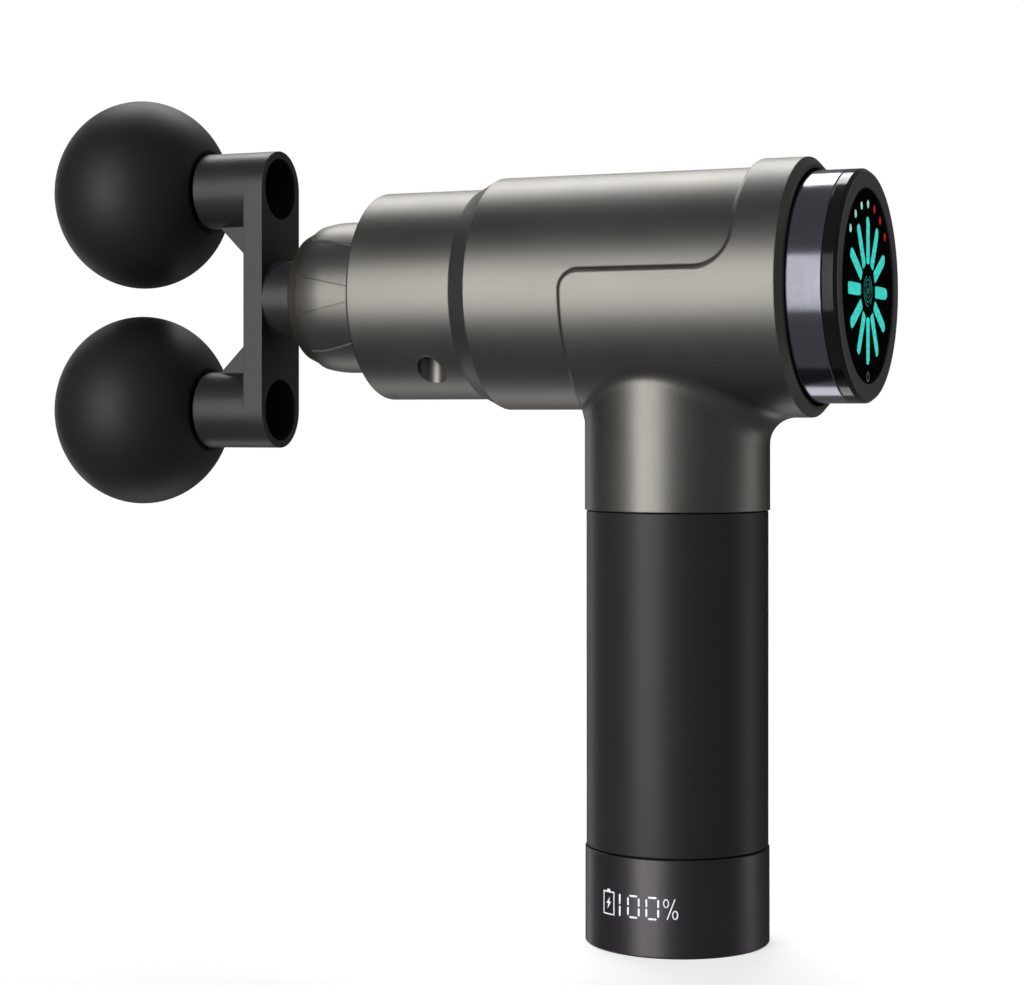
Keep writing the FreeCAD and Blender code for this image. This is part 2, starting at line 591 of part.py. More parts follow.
# ---------------------------------------------------------------- connecting rod
BIG_BEARING_R = 9.5
BIG_BEARING_W = 6.0
CRANK_PIN_R = 4.0
BIG_END_R = 12.2
SMALL_END_R = 6.2
SMALL_BUSH_T = 1.0


def connecting_rod():
    """Forged rod: big end round the crank bearing, tapered beam with a pocket on each side, small end."""
    z0, z1 = AXIS_Z - ROD_T / 2, AXIS_Z + ROD_T / 2
    big = rod_z(z0, z1, BIG_END_R, 0, CRANK_X)
    small = rod_z(z0, z1, SMALL_END_R, 0, WRIST_X)
    beam = prism([V(WRIST_X, -3.6, z0), V(CRANK_X, -6.0, z0), V(CRANK_X, 6.0, z0), V(WRIST_X, 3.6, z0)],
                 V(0, 0, ROD_T))
    rod = join([big, small, beam])
    for z in (z0, z1 - 2.0):
        pocket = prism([V(WRIST_X + 9, -1.8, z), V(CRANK_X - 15, -3.0, z), V(CRANK_X - 15, 3.0, z),
                        V(WRIST_X + 9, 1.8, z)], V(0, 0, 2.0))
        rod = rod.cut(pocket)
    rod = rod.cut(rod_z(z0 + 1.0, z1, BIG_BEARING_R, 0, CRANK_X)).cut(rod_z(z0, z1, BIG_BEARING_R - 2, 0, CRANK_X))
    return rod.cut(rod_z(z0, z1, WRIST_R + SMALL_BUSH_T, 0, WRIST_X))


def crank_bearing():
    return bearing(AXIS_Z - ROD_T / 2 + 1.0, CRANK_PIN_R, BIG_BEARING_R, BIG_BEARING_W, CRANK_X)


def crank_pin():
    """Shoulder screw through the crank bearing, which clamps the inner race to the crank."""
    z0 = AXIS_Z - ROD_T / 2
    pin = rod_z(z0, z0 + 1.0 + BIG_BEARING_W, CRANK_PIN_R, 0, CRANK_X)
    head = rod_z(z0 + 1.0 + BIG_BEARING_W, z0 + 4.2 + BIG_BEARING_W, 5.6, 0, CRANK_X)
    hexagon = [V(CRANK_X + 2.3 * math.cos(math.radians(60 * i)), 2.3 * math.sin(math.radians(60 * i)),
                 z0 + 2.4 + BIG_BEARING_W) for i in range(6)]
    return pin.fuse(head).cut(prism(hexagon, V(0, 0, 2.0)))


def small_end_bush():
    return rod_z(AXIS_Z - ROD_T / 2, AXIS_Z + ROD_T / 2, WRIST_R + SMALL_BUSH_T, WRIST_R + RUN_FIT, WRIST_X)


# ---------------------------------------------------------------- piston
def piston():
    """Round piston with the head's socket in front and a clevis for the rod behind."""
    body = rod_x(PISTON_FRONT_X, PISTON_BACK_X, PISTON_R)
    body = body.cut(rod_x(PISTON_FRONT_X, PISTON_FRONT_X + SOCKET_DEPTH, SOCKET_R))
    body = body.cut(lathe_x([(PISTON_FRONT_X, 0), (PISTON_FRONT_X, SOCKET_R + 0.6),
                             (PISTON_FRONT_X + 0.6, SOCKET_R), (PISTON_FRONT_X + 0.6, 0)]))
    slot = box(WRIST_X - SMALL_END_R - 1.4, PISTON_BACK_X, -PISTON_R, PISTON_R,
               AXIS_Z - ROD_T / 2 - 0.3, AXIS_Z + ROD_T / 2 + 0.3)
    body = body.cut(slot)
    lighten = rod_x(PISTON_FRONT_X + SOCKET_DEPTH + 4.0, WRIST_X - SMALL_END_R - 1.4, PISTON_R - 3.5)
    body = body.cut(lighten)
    return body.cut(rod_z(AXIS_Z - PISTON_R, AXIS_Z + PISTON_R, WRIST_R, 0, WRIST_X))


def wrist_pin():
    half = math.sqrt(PISTON_R ** 2 - WRIST_R ** 2) - 0.8
    return rod_z(AXIS_Z - half, AXIS_Z + half, WRIST_R, 0, WRIST_X)


def socket_spring():
    """Split ring at the socket's floor that cushions the head's plug."""
    x0 = PISTON_FRONT_X + PLUG_LENGTH + 0.3
    ring = rod_x(x0, PISTON_FRONT_X + SOCKET_DEPTH, SOCKET_R - 0.1, SOCKET_R - 2.4)
    return ring


# ---------------------------------------------------------------- massage head
def arm_heights():
    return AXIS_Z + ARM_SPREAD, AXIS_Z - ARM_SPREAD


def fork():
    """Cross bar with two hollow arms, the ribs between them and the plug that fits the piston."""
    front_x = FORK_BACK_X - FORK_T
    bar = box(front_x, FORK_BACK_X, -ARM_R, ARM_R, AXIS_Z - ARM_SPREAD, AXIS_Z + ARM_SPREAD)
    pieces = [bar]
    for z in arm_heights():
        pieces.append(rod_x(ARM_END_X, FORK_BACK_X, ARM_R, 0, 0, z))
    inner = ARM_SPREAD - ARM_R
    for side in (-1, 1):
        foot_z = AXIS_Z + side * (inner - RIB_REACH)
        top_z = AXIS_Z + side * (inner + 1.5)
        tip_x = front_x - RIB_REACH - 1.5
        pieces.append(prism([V(front_x, -RIB_T / 2, foot_z), V(tip_x, -RIB_T / 2, top_z), V(front_x, -RIB_T / 2, top_z)],
                            V(0, RIB_T, 0)))
    neck_back = PISTON_FRONT_X - 0.05
    pieces.append(rod_x(FORK_BACK_X, neck_back, ARM_R))
    plug = lathe_x([(neck_back, 0), (neck_back, PLUG_R), (neck_back + PLUG_LENGTH - 0.8, PLUG_R),
                    (neck_back + PLUG_LENGTH, PLUG_R - 0.8), (neck_back + PLUG_LENGTH, 0)])
    pieces.append(plug)
    body = join(pieces)
    for z in arm_heights():
        body = body.cut(rod_x(ARM_END_X + ARM_FLOOR_T, FORK_BACK_X, ARM_BORE_R, 0, 0, z))
        body = body.cut(rod_x(ARM_END_X, ARM_END_X + ARM_FLOOR_T, BALL_SCREW_R + 0.25, 0, 0, z))
    groove = rod_x(oring_x() - ORING_R, oring_x() + ORING_R, PLUG_R + 1, PLUG_R - 1.6 * ORING_R)
    return body.cut(groove)


def oring_x():
    return PISTON_FRONT_X + PLUG_LENGTH - 6.0


def head_oring():
    """O-ring in the plug's groove, squeezed against the socket."""
    return rod_x(oring_x() - ORING_R + 0.1, oring_x() + ORING_R - 0.1, SOCKET_R - 0.02, PLUG_R - 1.6 * ORING_R + 0.05)


def flattened_sphere(half_x, r, z):
    """Ball of revolution about the arm's axis: spherical caps at its two ends and a rounder belt between them."""
    belt = 1.54 * (r - half_x)                       # radius at which the belt's arc is centred
    k = half_x - r + belt
    offset = (belt * belt - k * k) / (2 * k)         # each cap's centre lies this far beyond the middle
    cap_r = half_x + offset
    c = V(BALL_X, 0, z)
    toward = V(-offset, 0, belt).normalize()
    half_way = math.atan2(toward.z, -toward.x) / 2
    start, end = c + V(-half_x, 0, 0), c + V(half_x, 0, 0)
    mid_left = c + V(offset - cap_r * math.cos(half_way), 0, cap_r * math.sin(half_way))
    left = c + V(offset, 0, 0) + toward * cap_r
    right = V(2 * c.x - left.x, 0, left.z)
    mid_right = V(2 * c.x - mid_left.x, 0, mid_left.z)
    outline = Part.Wire([Part.Arc(start, mid_left, left).toShape(), Part.Arc(left, c + V(0, 0, r), right).toShape(),
                         Part.Arc(right, mid_right, end).toShape(), Part.makeLine(end, start)])
    return Part.Face(outline).revolve(c, V(1, 0, 0), 360)


def ball(z):
    """Massage ball: a light shell round a post, with a flat seat for the arm and a bore for its insert."""
    hollow = flattened_sphere(BALL_HALF_X - BALL_WALL, BALL_R - BALL_WALL, z)
    hollow = hollow.cut(rod_x(BALL_X - BALL_R, ARM_END_X, INSERT_R + 3.0, 0, 0, z))
    hollow = hollow.cut(rod_x(ARM_END_X - 3.0, ARM_END_X + 6.0, ARM_R + 3.2, 0, 0, z))
    body = flattened_sphere(BALL_HALF_X, BALL_R, z).cut(hollow)
    body = body.cut(rod_x(ARM_END_X, ARM_END_X + BALL_R, ARM_R + 0.25, 0, 0, z))
    return body.cut(rod_x(ARM_END_X - INSERT_LENGTH, ARM_END_X, INSERT_R, 0, 0, z))


def ball_inserts():
    return [rod_x(ARM_END_X - INSERT_LENGTH, ARM_END_X, INSERT_R, 0, 0, z).cut(
        rod_x(ARM_END_X - 11.0, ARM_END_X, BALL_SCREW_R, 0, 0, z)) for z in arm_heights()]


def ball_washers():
    x = ARM_END_X + ARM_FLOOR_T
    return [rod_x(x, x + 1.0, 5.4, BALL_SCREW_R + 0.2, 0, z) for z in arm_heights()]


def ball_screws():
    x = ARM_END_X + ARM_FLOOR_T + 1.0
    return [screw_x(0, z, x + 3.4, 4.3, 3.4, BALL_SCREW_R, ARM_FLOOR_T + 1.0 + 10.0) for z in arm_heights()]


# ---------------------------------------------------------------- display
def display_ring():
    """Polished ring behind the collar, with a spigot that fits inside the barrel casing."""
    spigot = BARREL_BORE_R - SLIDE_FIT
    return lathe_x([(FRAME_BACK_X + 0.3, RING_BORE_R), (FRAME_BACK_X + 0.3, spigot), (RING_FRONT_X, spigot),
                    (RING_FRONT_X, RING_R), (RING_BACK_X - 0.25, RING_R), (RING_BACK_X, RING_R - 0.25),
                    (RING_BACK_X, RING_BORE_R)])


BEZEL_SPIGOT = 5.6


def display_bezel():
    """Black bezel with a chamfered edge, a seat for the glass and a spigot inside the ring."""
    face = BEZEL_FACE_X
    return lathe_x([
        (RING_BACK_X - BEZEL_SPIGOT, RING_BORE_R - SLIDE_FIT), (RING_BACK_X, RING_BORE_R - SLIDE_FIT),
        (RING_BACK_X, RING_R - 0.25), (RING_BACK_X + 0.25, RING_R), (face - BEZEL_EDGE * 1.5, RING_R),
        (face - 0.15, RING_R - BEZEL_EDGE), (face, RING_R - BEZEL_EDGE - 0.2), (face, LENS_R + 0.3),
        (face - 0.2, LENS_R + 0.1), (LENS_BACK_X, LENS_R + 0.1), (LENS_BACK_X, LENS_R - 1.4),
        (LENS_BACK_X - 1.4, LENS_R - 1.4), (LENS_BACK_X - 1.4, RING_BORE_R - 1.6),
        (RING_BACK_X - BEZEL_SPIGOT, RING_BORE_R - 1.6)])


def dial_point(radius, degrees, x):
    """Point on the dial, degrees clockwise from the top as seen from behind the gun."""
    a = math.radians(degrees)
    return V(x, radius * math.sin(a), AXIS_Z - DIAL_DROP + radius * math.cos(a))


def dial_turn(shape, degrees):
    turned = shape.copy()
    turned.rotate(V(0, 0, AXIS_Z - DIAL_DROP), V(1, 0, 0), -degrees)
    return turned


LENS_FACE_X = BEZEL_FACE_X - LENS_SET_IN


def dial_slab(y0, y1, z0, z1, corner):
    """Thin plate let into the glass, with rounded corners; z is measured up from the dial's centre."""
    z_mid = AXIS_Z - DIAL_DROP
    slab = box(LENS_FACE_X - MARK_T, LENS_FACE_X, y0, y1, z_mid + z0, z_mid + z1)
    upright = [e for e in slab.Edges if near(e.valueAt(e.FirstParameter).y, e.valueAt(e.LastParameter).y)
               and near(e.valueAt(e.FirstParameter).z, e.valueAt(e.LastParameter).z)]
    return slab.makeFillet(corner, upright)


def mode_bars():
    """Twelve lit bars, one for each mode."""
    bar = dial_slab(-BAR_W / 2, BAR_W / 2, BAR_IN_R, BAR_OUT_R, 0.75)
    return [dial_turn(bar, 360.0 * i / BAR_COUNT) for i in range(BAR_COUNT)]


def dots(numbers):
    made = []
    for n in numbers:
        p = dial_point(DOT_ARC_R, DOT_STEP * n, LENS_FACE_X - MARK_T)
        made.append(rod_x(p.x, LENS_FACE_X, DOT_R, 0, p.y, p.z))
    return made


def speed_dots():
    return dots((-3, -2, -1, 0))


def load_dots():
    return dots((1, 2, 3))


def arc_band(radius, width, start, end, z_offset=0.0):
    """Part of a flat ring let into the glass, from start to end degrees clockwise from the top."""
    z_mid = AXIS_Z - DIAL_DROP + z_offset
    steps = max(4, int((end - start) / 12))
    def rim(r, a):
        return V(LENS_FACE_X - MARK_T, r * math.sin(math.radians(a)), z_mid + r * math.cos(math.radians(a)))
    angles = [start + (end - start) * i / steps for i in range(steps + 1)]
    outer = [rim(radius + width / 2, a) for a in angles]
    inner = [rim(radius - width / 2, a) for a in reversed(angles)]
    return prism(outer + inner, V(MARK_T, 0, 0))


def touch_mark():
    """Generic touch symbol: broken rings round a dot."""
    bands = [(3.9, 0.42, 20, 150), (3.9, 0.42, 175, 340), (2.9, 0.42, -70, 95), (2.9, 0.42, 125, 260),
             (1.9, 0.42, 10, 165), (1.9, 0.42, 200, 335)]
    made = [arc_band(r, w, a, b) for r, w, a, b in bands]
    made.append(rod_x(LENS_FACE_X - MARK_T, LENS_FACE_X, 0.8, 0, 0, AXIS_Z - DIAL_DROP))
    return made


def power_mark():
    """Generic power symbol under the dial."""
    drop = -(DOT_ARC_R - 0.2)
    z_mid = AXIS_Z - DIAL_DROP + drop
    stroke = box(LENS_FACE_X - MARK_T, LENS_FACE_X, -0.16, 0.16, z_mid + 0.35, z_mid + 1.5)
    return [arc_band(1.15, 0.32, 40, 320, drop), stroke]


def lit_marks():
    return mode_bars() + speed_dots() + load_dots() + touch_mark() + power_mark()


def display_lens():
    """Black glass with a window for each lit mark."""
    glass = rod_x(LENS_BACK_X, LENS_FACE_X, LENS_R)
    rim = [e for e in glass.Edges if all(near(p.x, LENS_FACE_X) for p in samples(e))]
    glass = glass.makeChamfer(0.25, rim)
    return glass.cut(Part.makeCompound(lit_marks()))


def light_guide():
    """Light guide between the lamps and the glass."""
    return rod_x(LENS_BACK_X - 2.6, LENS_BACK_X - 0.1, LENS_R - 1.6)


def display_board():
    x1 = LENS_BACK_X - 4.0
    return rod_x(x1 - BOARD_T, x1, RING_BORE_R - 2.0)


def control_board():
    """Round motor-control board on the frame's feet."""
    x0 = FRAME_BACK_X + 3.0
    board = rod_x(x0, x0 + BOARD_T, RING_BORE_R - 1.0)
    for a in (math.radians(45 + 90 * i) for i in range(4)):
        board = board.cut(rod_x(x0, x0 + BOARD_T, 1.1, 0, 24 * math.cos(a), AXIS_Z + 24 * math.sin(a)))
    return board


def board_screws():
    x0 = FRAME_BACK_X + 3.0 + BOARD_T
    return [screw_x(24 * math.cos(a), AXIS_Z + 24 * math.sin(a), x0 + 1.2, 1.9, 1.2, 1.0, BOARD_T + 2.4)
            for a in (math.radians(45 + 90 * i) for i in range(4))]


def board_parts():
    """Power transistors, controller, capacitor and plugs on the control board."""
    x0 = FRAME_BACK_X + 3.0 + BOARD_T
    z = AXIS_Z
    chips = [box(x0, x0 + 1.6, y - 2.6, y + 2.6, z + 8, z + 14) for y in (-10, -3, 4, 11)]
    chips.append(box(x0, x0 + 1.4, -4.5, 4.5, z - 5, z + 4))
    chips.append(rod_x(x0, x0 + 7.5, 4.0, 0, -13, z - 8))
    chips.append(box(x0, x0 + 4.5, 6, 16, z - 13, z - 8))
    return chips


# ---------------------------------------------------------------- battery handle
def battery_tube():
    """Structural tube of the handle, with a plain spigot that slides up into the neck."""
    z0 = 9.0
    body = lathe_z([
        (TUBE_BORE_R, z0), (BASE_R - 2.4, z0), (BASE_R - 2.4, SEAM_BASE_Z - 1.5), (TUBE_R, SEAM_BASE_Z - 1.5),
        (TUBE_R, SEAM_GRIP_Z - 0.1), (SPIGOT_R, SEAM_GRIP_Z - 0.1), (SPIGOT_R, SPIGOT_TOP_Z - 0.8),
        (SPIGOT_R - 0.8, SPIGOT_TOP_Z), (SPIGOT_R - TUBE_WALL, SPIGOT_TOP_Z),
        (SPIGOT_R - TUBE_WALL, SEAM_GRIP_Z - 3), (TUBE_BORE_R, SEAM_GRIP_Z - 5)])
    return body


def grip_sleeve():
    """Silicone sleeve over the tube."""
    z0, z1 = SEAM_BASE_Z + 0.15, SEAM_GRIP_Z - 0.15
    c = 0.3
    return lathe_z([(TUBE_R + 0.03, z0), (SLEEVE_R - c, z0), (SLEEVE_R, z0 + c), (SLEEVE_R, z1 - c),
                    (SLEEVE_R - c, z1), (TUBE_R + 0.03, z1)])


def base_cap():
    """Cup at the foot of the handle, with openings below for the charging socket and the switch."""
    floor_t = 2.6
    c = 0.4
    cup = lathe_z([(0, 0), (BASE_R - c, 0), (BASE_R - 0.25, 0.25 * c), (BASE_R, c), (BASE_R, SEAM_BASE_Z - 0.25),
                   (BASE_R - 0.25, SEAM_BASE_Z), (TUBE_R + 0.1, SEAM_BASE_Z), (TUBE_R + 0.1, SEAM_BASE_Z - 1.6),
                   (BASE_R - 2.3, SEAM_BASE_Z - 1.6), (BASE_R - 2.3, floor_t), (0, floor_t)])
    cup = cup.cut(rod_z(0, floor_t, JACK_R + 0.1, 0, 0, JACK_Y))
    cup = cup.cut(box(-SWITCH_X / 2 - 0.15, SWITCH_X / 2 + 0.15, SWITCH_Y0 - 0.15, SWITCH_Y0 + SWITCH_W + 0.15, 0, floor_t))
    for x, y in base_screw_places():
        cup = cup.cut(rod_z(0, 1.5, 2.2, 0, x, y)).cut(rod_z(0, floor_t, 1.3, 0, x, y))
    return cup.cut(Part.makeCompound(readout()))


JACK_R = 4.4
JACK_Y = -9.5
SWITCH_X = 13.0
SWITCH_W = 8.4
SWITCH_Y0 = 5.0


def base_screw_places():
    return [(17.5 * math.cos(a), 17.5 * math.sin(a)) for a in (math.radians(45 + 90 * i) for i in range(4))]


def base_screws():
    return [screw_z(x, y, 0.25, 2.0, 1.2, 1.2, 6.5) for x, y in base_screw_places()]


def foot_block():
    """Moulded block in the base that the cap is screwed to and that holds the socket and switch."""
    block = rod_z(2.7, 8.9, BASE_R - 2.5, BASE_R - 8.4)
    lugs = [rod_z(2.7, 8.9, 3.4, 0, x, y) for x, y in base_screw_places()]
    block = join([block] + lugs).common(rod_z(2, 9, BASE_R - 2.5))
    block = block.cut(rod_z(2.6, 9, JACK_R + 0.2, 0, 0, JACK_Y))
    block = block.cut(box(-SWITCH_X / 2 - 0.3, SWITCH_X / 2 + 0.3, SWITCH_Y0 - 0.3, SWITCH_Y0 + SWITCH_W + 0.3, 2.6, 9))
    for x, y in base_screw_places():
        block = block.cut(rod_z(2.6, 8.2, 1.2, 0, x, y))
    return block


def charge_socket():
    """Round low-voltage socket: a sleeve with a contact pin in the middle."""
    body = rod_z(0.3, 12.5, JACK_R, 0, 0, JACK_Y).cut(rod_z(0.3, 10.0, 2.85, 0, 0, JACK_Y))
    return body.fuse(rod_z(1.6, 10.5, 1.05, 0, 0, JACK_Y))


ROCKER_PIVOT_Z = 4.6
ROCKER_TILT = 8.0
ROCKER_HALF = 4.9


def switch_rocker():
    """Rocker of the main switch, tilted to off; it turns about a cross pin."""
    x, y0, y1 = ROCKER_HALF, SWITCH_Y0 + 1.3, SWITCH_Y0 + SWITCH_W - 1.3
    body = prism([V(-x, y0, 1.5), V(0, y0, 2.3), V(x, y0, 1.5), V(x, y0, 3.4), V(2.6, y0, 5.8), V(-2.6, y0, 5.8),
                  V(-x, y0, 3.4)], V(0, y1 - y0, 0))
    body.rotate(V(0, 0, ROCKER_PIVOT_Z), V(0, 1, 0), -ROCKER_TILT)
    hole = Part.makeCylinder(0.8 + RUN_FIT, SWITCH_W, V(0, SWITCH_Y0, ROCKER_PIVOT_Z), V(0, 1, 0))
    return body.cut(hole)


def switch_body():
    """Housing of the main switch, an open-bottomed box with the rocker's pin across it."""
    x, y0, y1 = SWITCH_X / 2, SWITCH_Y0, SWITCH_Y0 + SWITCH_W
    body = box(-x, x, y0, y1, 0.5, 13.0).cut(box(-x + 0.9, x - 0.9, y0 + 0.9, y1 - 0.9, 0.5, 8.5))
    pin = Part.makeCylinder(0.8, SWITCH_W - 1.0, V(0, y0 + 0.5, ROCKER_PIVOT_Z), V(0, 1, 0))
    return body.fuse(pin).removeSplitter()


def cell_places():
    r = (CELL_R + CELL_GAP) * 2 / math.sqrt(3)
    return [(r * math.cos(a), r * math.sin(a)) for a in (math.radians(90 + 120 * i) for i in range(3))]


def pack_bottom_z():
    return (SEAM_BASE_Z + SEAM_GRIP_Z - CELL_H) / 2 + 1.0


def cells():
    """Three lithium cells side by side."""
    made = []
    for x, y in cell_places():
        z0 = pack_bottom_z()
        can = rod_z(z0, z0 + CELL_H - 1.6, CELL_R, 0, x, y)
        cap = rod_z(z0 + CELL_H - 1.6, z0 + CELL_H, 4.0, 0, x, y)
        made.append(can.fuse(cap))
    return made


def cell_holder(top):
    """Plastic end plate that keeps the cells apart."""
    z_end = pack_bottom_z() + CELL_H - 1.6 if top else pack_bottom_z()
    z0, z1 = (z_end - 5.0, z_end + 2.2) if top else (z_end - 2.2, z_end + 5.0)
    plate = rod_z(z0, z1, TUBE_BORE_R - 0.15)
    for x, y in cell_places():
        pocket = (z0, z_end) if top else (z_end, z1)
        plate = plate.cut(rod_z(pocket[0], pocket[1], CELL_R + 0.05, 0, x, y))
        plate = plate.cut(rod_z(z0, z1, 5.0, 0, x, y))
    return plate


def cell_straps():
    """Nickel straps that join the cells, above and below, each with a foot on both cells."""
    (ax, ay), (bx, by), (cx, cy) = cell_places()
    cap_z, foot_z = pack_bottom_z() + CELL_H, pack_bottom_z()
    made = []
    for z, z_cell, (px, py), (qx, qy) in ((cap_z + 0.65, cap_z, (ax, ay), (bx, by)),
                                          (foot_z - 2.5, foot_z, (bx, by), (cx, cy))):
        dx, dy = qx - px, qy - py
        length = math.hypot(dx, dy)
        strap = box(-2.0, length + 2.0, -3.0, 3.0, 0, 0.25)
        strap.rotate(V(0, 0, 0), V(0, 0, 1), math.degrees(math.atan2(dy, dx)))
        strap.translate(V(px, py, z))
        z0, z1 = min(z_cell, z), max(z_cell, z + 0.25)
        made.append(join([strap, rod_z(z0, z1, 3.4, 0, px, py), rod_z(z0, z1, 3.4, 0, qx, qy)]))
    return made


def charge_board():
    """Charging and protection board under the cells."""
    return rod_z(15.0, 15.0 + BOARD_T, TUBE_BORE_R - 0.3)


def charge_board_parts():
    z0 = 15.0 + BOARD_T
    parts = [box(-12, -5, -6, 1, z0, z0 + 2.0), box(-2, 4, 6, 12, z0, z0 + 1.5), box(6, 14, -4, 4, z0, z0 + 3.2)]
    parts.append(rod_z(z0, z0 + 6.0, 3.0, 0, -4, -12))
    return parts


def contact_plate():
    """Top plate of the pack, with its four spring contacts' sockets."""
    z1 = SPIGOT_TOP_Z - 1.2
    plate = rod_z(z1 - 2.6, z1, SPIGOT_R - TUBE_WALL - 0.15)
    for x, y in contact_places():
        plate = plate.cut(rod_z(z1 - 2.6, z1, 1.6, 0, x, y))
    return plate


def contact_places():
    return [(x, 0) for x in (-9.0, -3.0, 3.0, 9.0)]


def pack_contacts():
    z1 = SPIGOT_TOP_Z - 1.2
    return [rod_z(z1 - 3.6, z1 - 0.4, 1.55, 0, x, y) for x, y in contact_places()]


def contact_block():
    """Plate in the neck that carries the gun's half of the contacts."""
    z0 = SPIGOT_TOP_Z + 0.7
    plate = rod_z(z0, z0 + 2.4, NECK_BORE_R - 0.05)
    for x, y in contact_places():
        plate = plate.cut(rod_z(z0, z0 + 2.4, 1.0, 0, x, y))
    return plate


def contact_pins():
    """Spring pins that touch the pack's contacts."""
    z0 = SPIGOT_TOP_Z - 1.6
    return [rod_z(z0 + 0.02, SPIGOT_TOP_Z + 3.6, 0.95, 0, x, y) for x, y in contact_places()]


# Charge read-out, laid out on the base cap's left side; angles are from -Y, positive towards the display end
READOUT_BATTERY = -26.8
READOUT_ONE = -17.6
READOUT_ZEROS = (-7.8, 4.5)
READOUT_PERCENT = 15.7


def glyph(points_list, degrees):
    """Flat strokes, as (across, up) outlines in mm, wrapped on the base cap as thin curved inlays."""
    skin = rod_z(DIGIT_MID_Z - 6, DIGIT_MID_Z + 6, BASE_R + INLAY_PROUD, BASE_R - INLAY_DEPTH)
    made = []
    for points in points_list:
        block = prism([V(a, -BASE_R - 1, DIGIT_MID_Z + b) for a, b in points], V(0, 4, 0))
        made.append(about_handle(skin.common(block), degrees))
    return made


def segment(x0, z0, x1, z1, width=DIGIT_STROKE):
    """Straight stroke with pointed ends between two (across, up) points."""
    dx, dz = x1 - x0, z1 - z0
    length = math.hypot(dx, dz)
    ux, uz = dx / length, dz / length
    h = width / 2
    return [(x0, z0), (x0 + (ux - uz) * h, z0 + (uz + ux) * h), (x1 - (ux + uz) * h, z1 - (uz - ux) * h), (x1, z1),
            (x1 - (ux - uz) * h, z1 - (uz + ux) * h), (x0 + (ux + uz) * h, z0 + (uz - ux) * h)]


def digit_zero():
    w, h, g = DIGIT_W / 2 - 0.3, DIGIT_H / 2 - 0.3, 0.12
    c = 0.35
    return [segment(-w + c, h, w - c, h), segment(-w + c, -h, w - c, -h),
            segment(-w, g, -w, h - c), segment(w, g, w, h - c), segment(-w, -g, -w, -h + c), segment(w, -g, w, -h + c)]


def digit_one():
    h, g = DIGIT_H / 2 - 0.1, 0.12
    return [segment(0, g, 0, h), segment(0, -g, 0, -h)]


def oval(cx, cz, rx, rz, width, count=14):
    """Ring-shaped stroke, cut into two halves so that each outline is simple."""
    halves = []
    for start in (0, 180):
        angles = [math.radians(start + 180.0 * i / count) for i in range(count + 1)]
        outer = [(cx + (rx + width / 2) * math.cos(a), cz + (rz + width / 2) * math.sin(a)) for a in angles]
        inner = [(cx + (rx - width / 2) * math.cos(a), cz + (rz - width / 2) * math.sin(a)) for a in reversed(angles)]
        halves.append(outer + inner)
    return halves


def percent_sign():
    return (oval(-1.15, 1.45, 0.62, 1.0, 0.3) + oval(1.15, -1.45, 0.62, 1.0, 0.3) +
            [[(-1.05, -2.6), (-0.7, -2.6), (1.3, 2.6), (0.95, 2.6)]])


def battery_icon():
    w, h, t = 2.05, 3.0, 0.32
    frame = [[(-w, -h), (w, -h), (w, -h + t), (-w, -h + t)], [(-w, h - t), (w, h - t), (w, h), (-w, h)],
             [(-w, -h + t), (-w + t, -h + t), (-w + t, h - t), (-w, h - t)],
             [(w - t, -h + t), (w, -h + t), (w, h - t), (w - t, h - t)],
             [(-0.75, h), (0.75, h), (0.45, h + 0.55), (-0.45, h + 0.55)]]
    bolt = [(0.5, 1.6), (-0.85, -0.15), (-0.1, -0.15), (-0.5, -1.6), (0.85, 0.3), (0.1, 0.3)]
    return frame + [bolt]


def readout():
    made = glyph(battery_icon(), READOUT_BATTERY) + glyph(digit_one(), READOUT_ONE)
    for degrees in READOUT_ZEROS:
        made += glyph(digit_zero(), degrees)
    return made + glyph(percent_sign(), READOUT_PERCENT)


# ---------------------------------------------------------------- wiring
def cable(points, radius, bend=2.5):
    """Round cable along straight runs joined by arcs, from the first point to the last."""
    edges, at = [], points[0]
    for before, corner, after in zip(points, points[1:], points[2:]):
        a, b = (before - corner).normalize(), (after - corner).normalize()
        angle = a.getAngle(b)
        trim = bend / math.tan(angle / 2)
        start, end = corner + a * trim, corner + b * trim
        middle = (a + b).normalize()
        centre = corner + middle * (bend / math.sin(angle / 2))
        edges += [Part.makeLine(at, start), Part.Arc(start, centre - middle * bend, end).toShape()]
        at = end
    edges.append(Part.makeLine(at, points[-1]))
    path = Part.Wire(edges)
    circle = Part.Wire(Part.makeCircle(radius, points[0], points[1] - points[0]))
    return path.makePipeShell([circle], True, False)


def motor_leads():
    """Three phase leads from the motor's flange to the control board."""
    x_end = FRAME_BACK_X + 3.0
    z0 = PLATE_BOTTOM_Z - FLANGE_T / 2
    return [cable([V(16.1, y, z0), V(19.7, y, z0), V(19.7, y, AXIS_Z - 9), V(x_end, y, AXIS_Z - 9)], 0.8, 1.6)
            for y in (-2.6, 0.0, 2.6)]


def battery_leads():
    """Two supply leads from the neck's terminal up past the motor to the control board."""
    x, y, z0 = 19.0, 8.0, SPIGOT_TOP_Z + 0.7 + 2.4
    return [cable([V(x, side * y, z0), V(x, side * y, AXIS_Z - 15), V(FRAME_BACK_X + 3.0, side * y, AXIS_Z - 15)],
                  0.9, 1.5) for side in (-1, 1)]


def display_ribbon():
    """Flat ribbon between the control board and the display board."""
    x0 = FRAME_BACK_X + 3.0 + BOARD_T
    x1 = LENS_BACK_X - 4.0 - BOARD_T
    return box(x0, x1, -4, 4, AXIS_Z - 20.3, AXIS_Z - 20.0)


# ---------------------------------------------------------------- build
def cell_holders():
    return [cell_holder(True), cell_holder(False)]


def charge_electronics():
    return [charge_board()] + charge_board_parts()


def pack_terminal():
    return [contact_plate()] + pack_contacts()


def neck_terminal():
    return [contact_block()] + contact_pins()


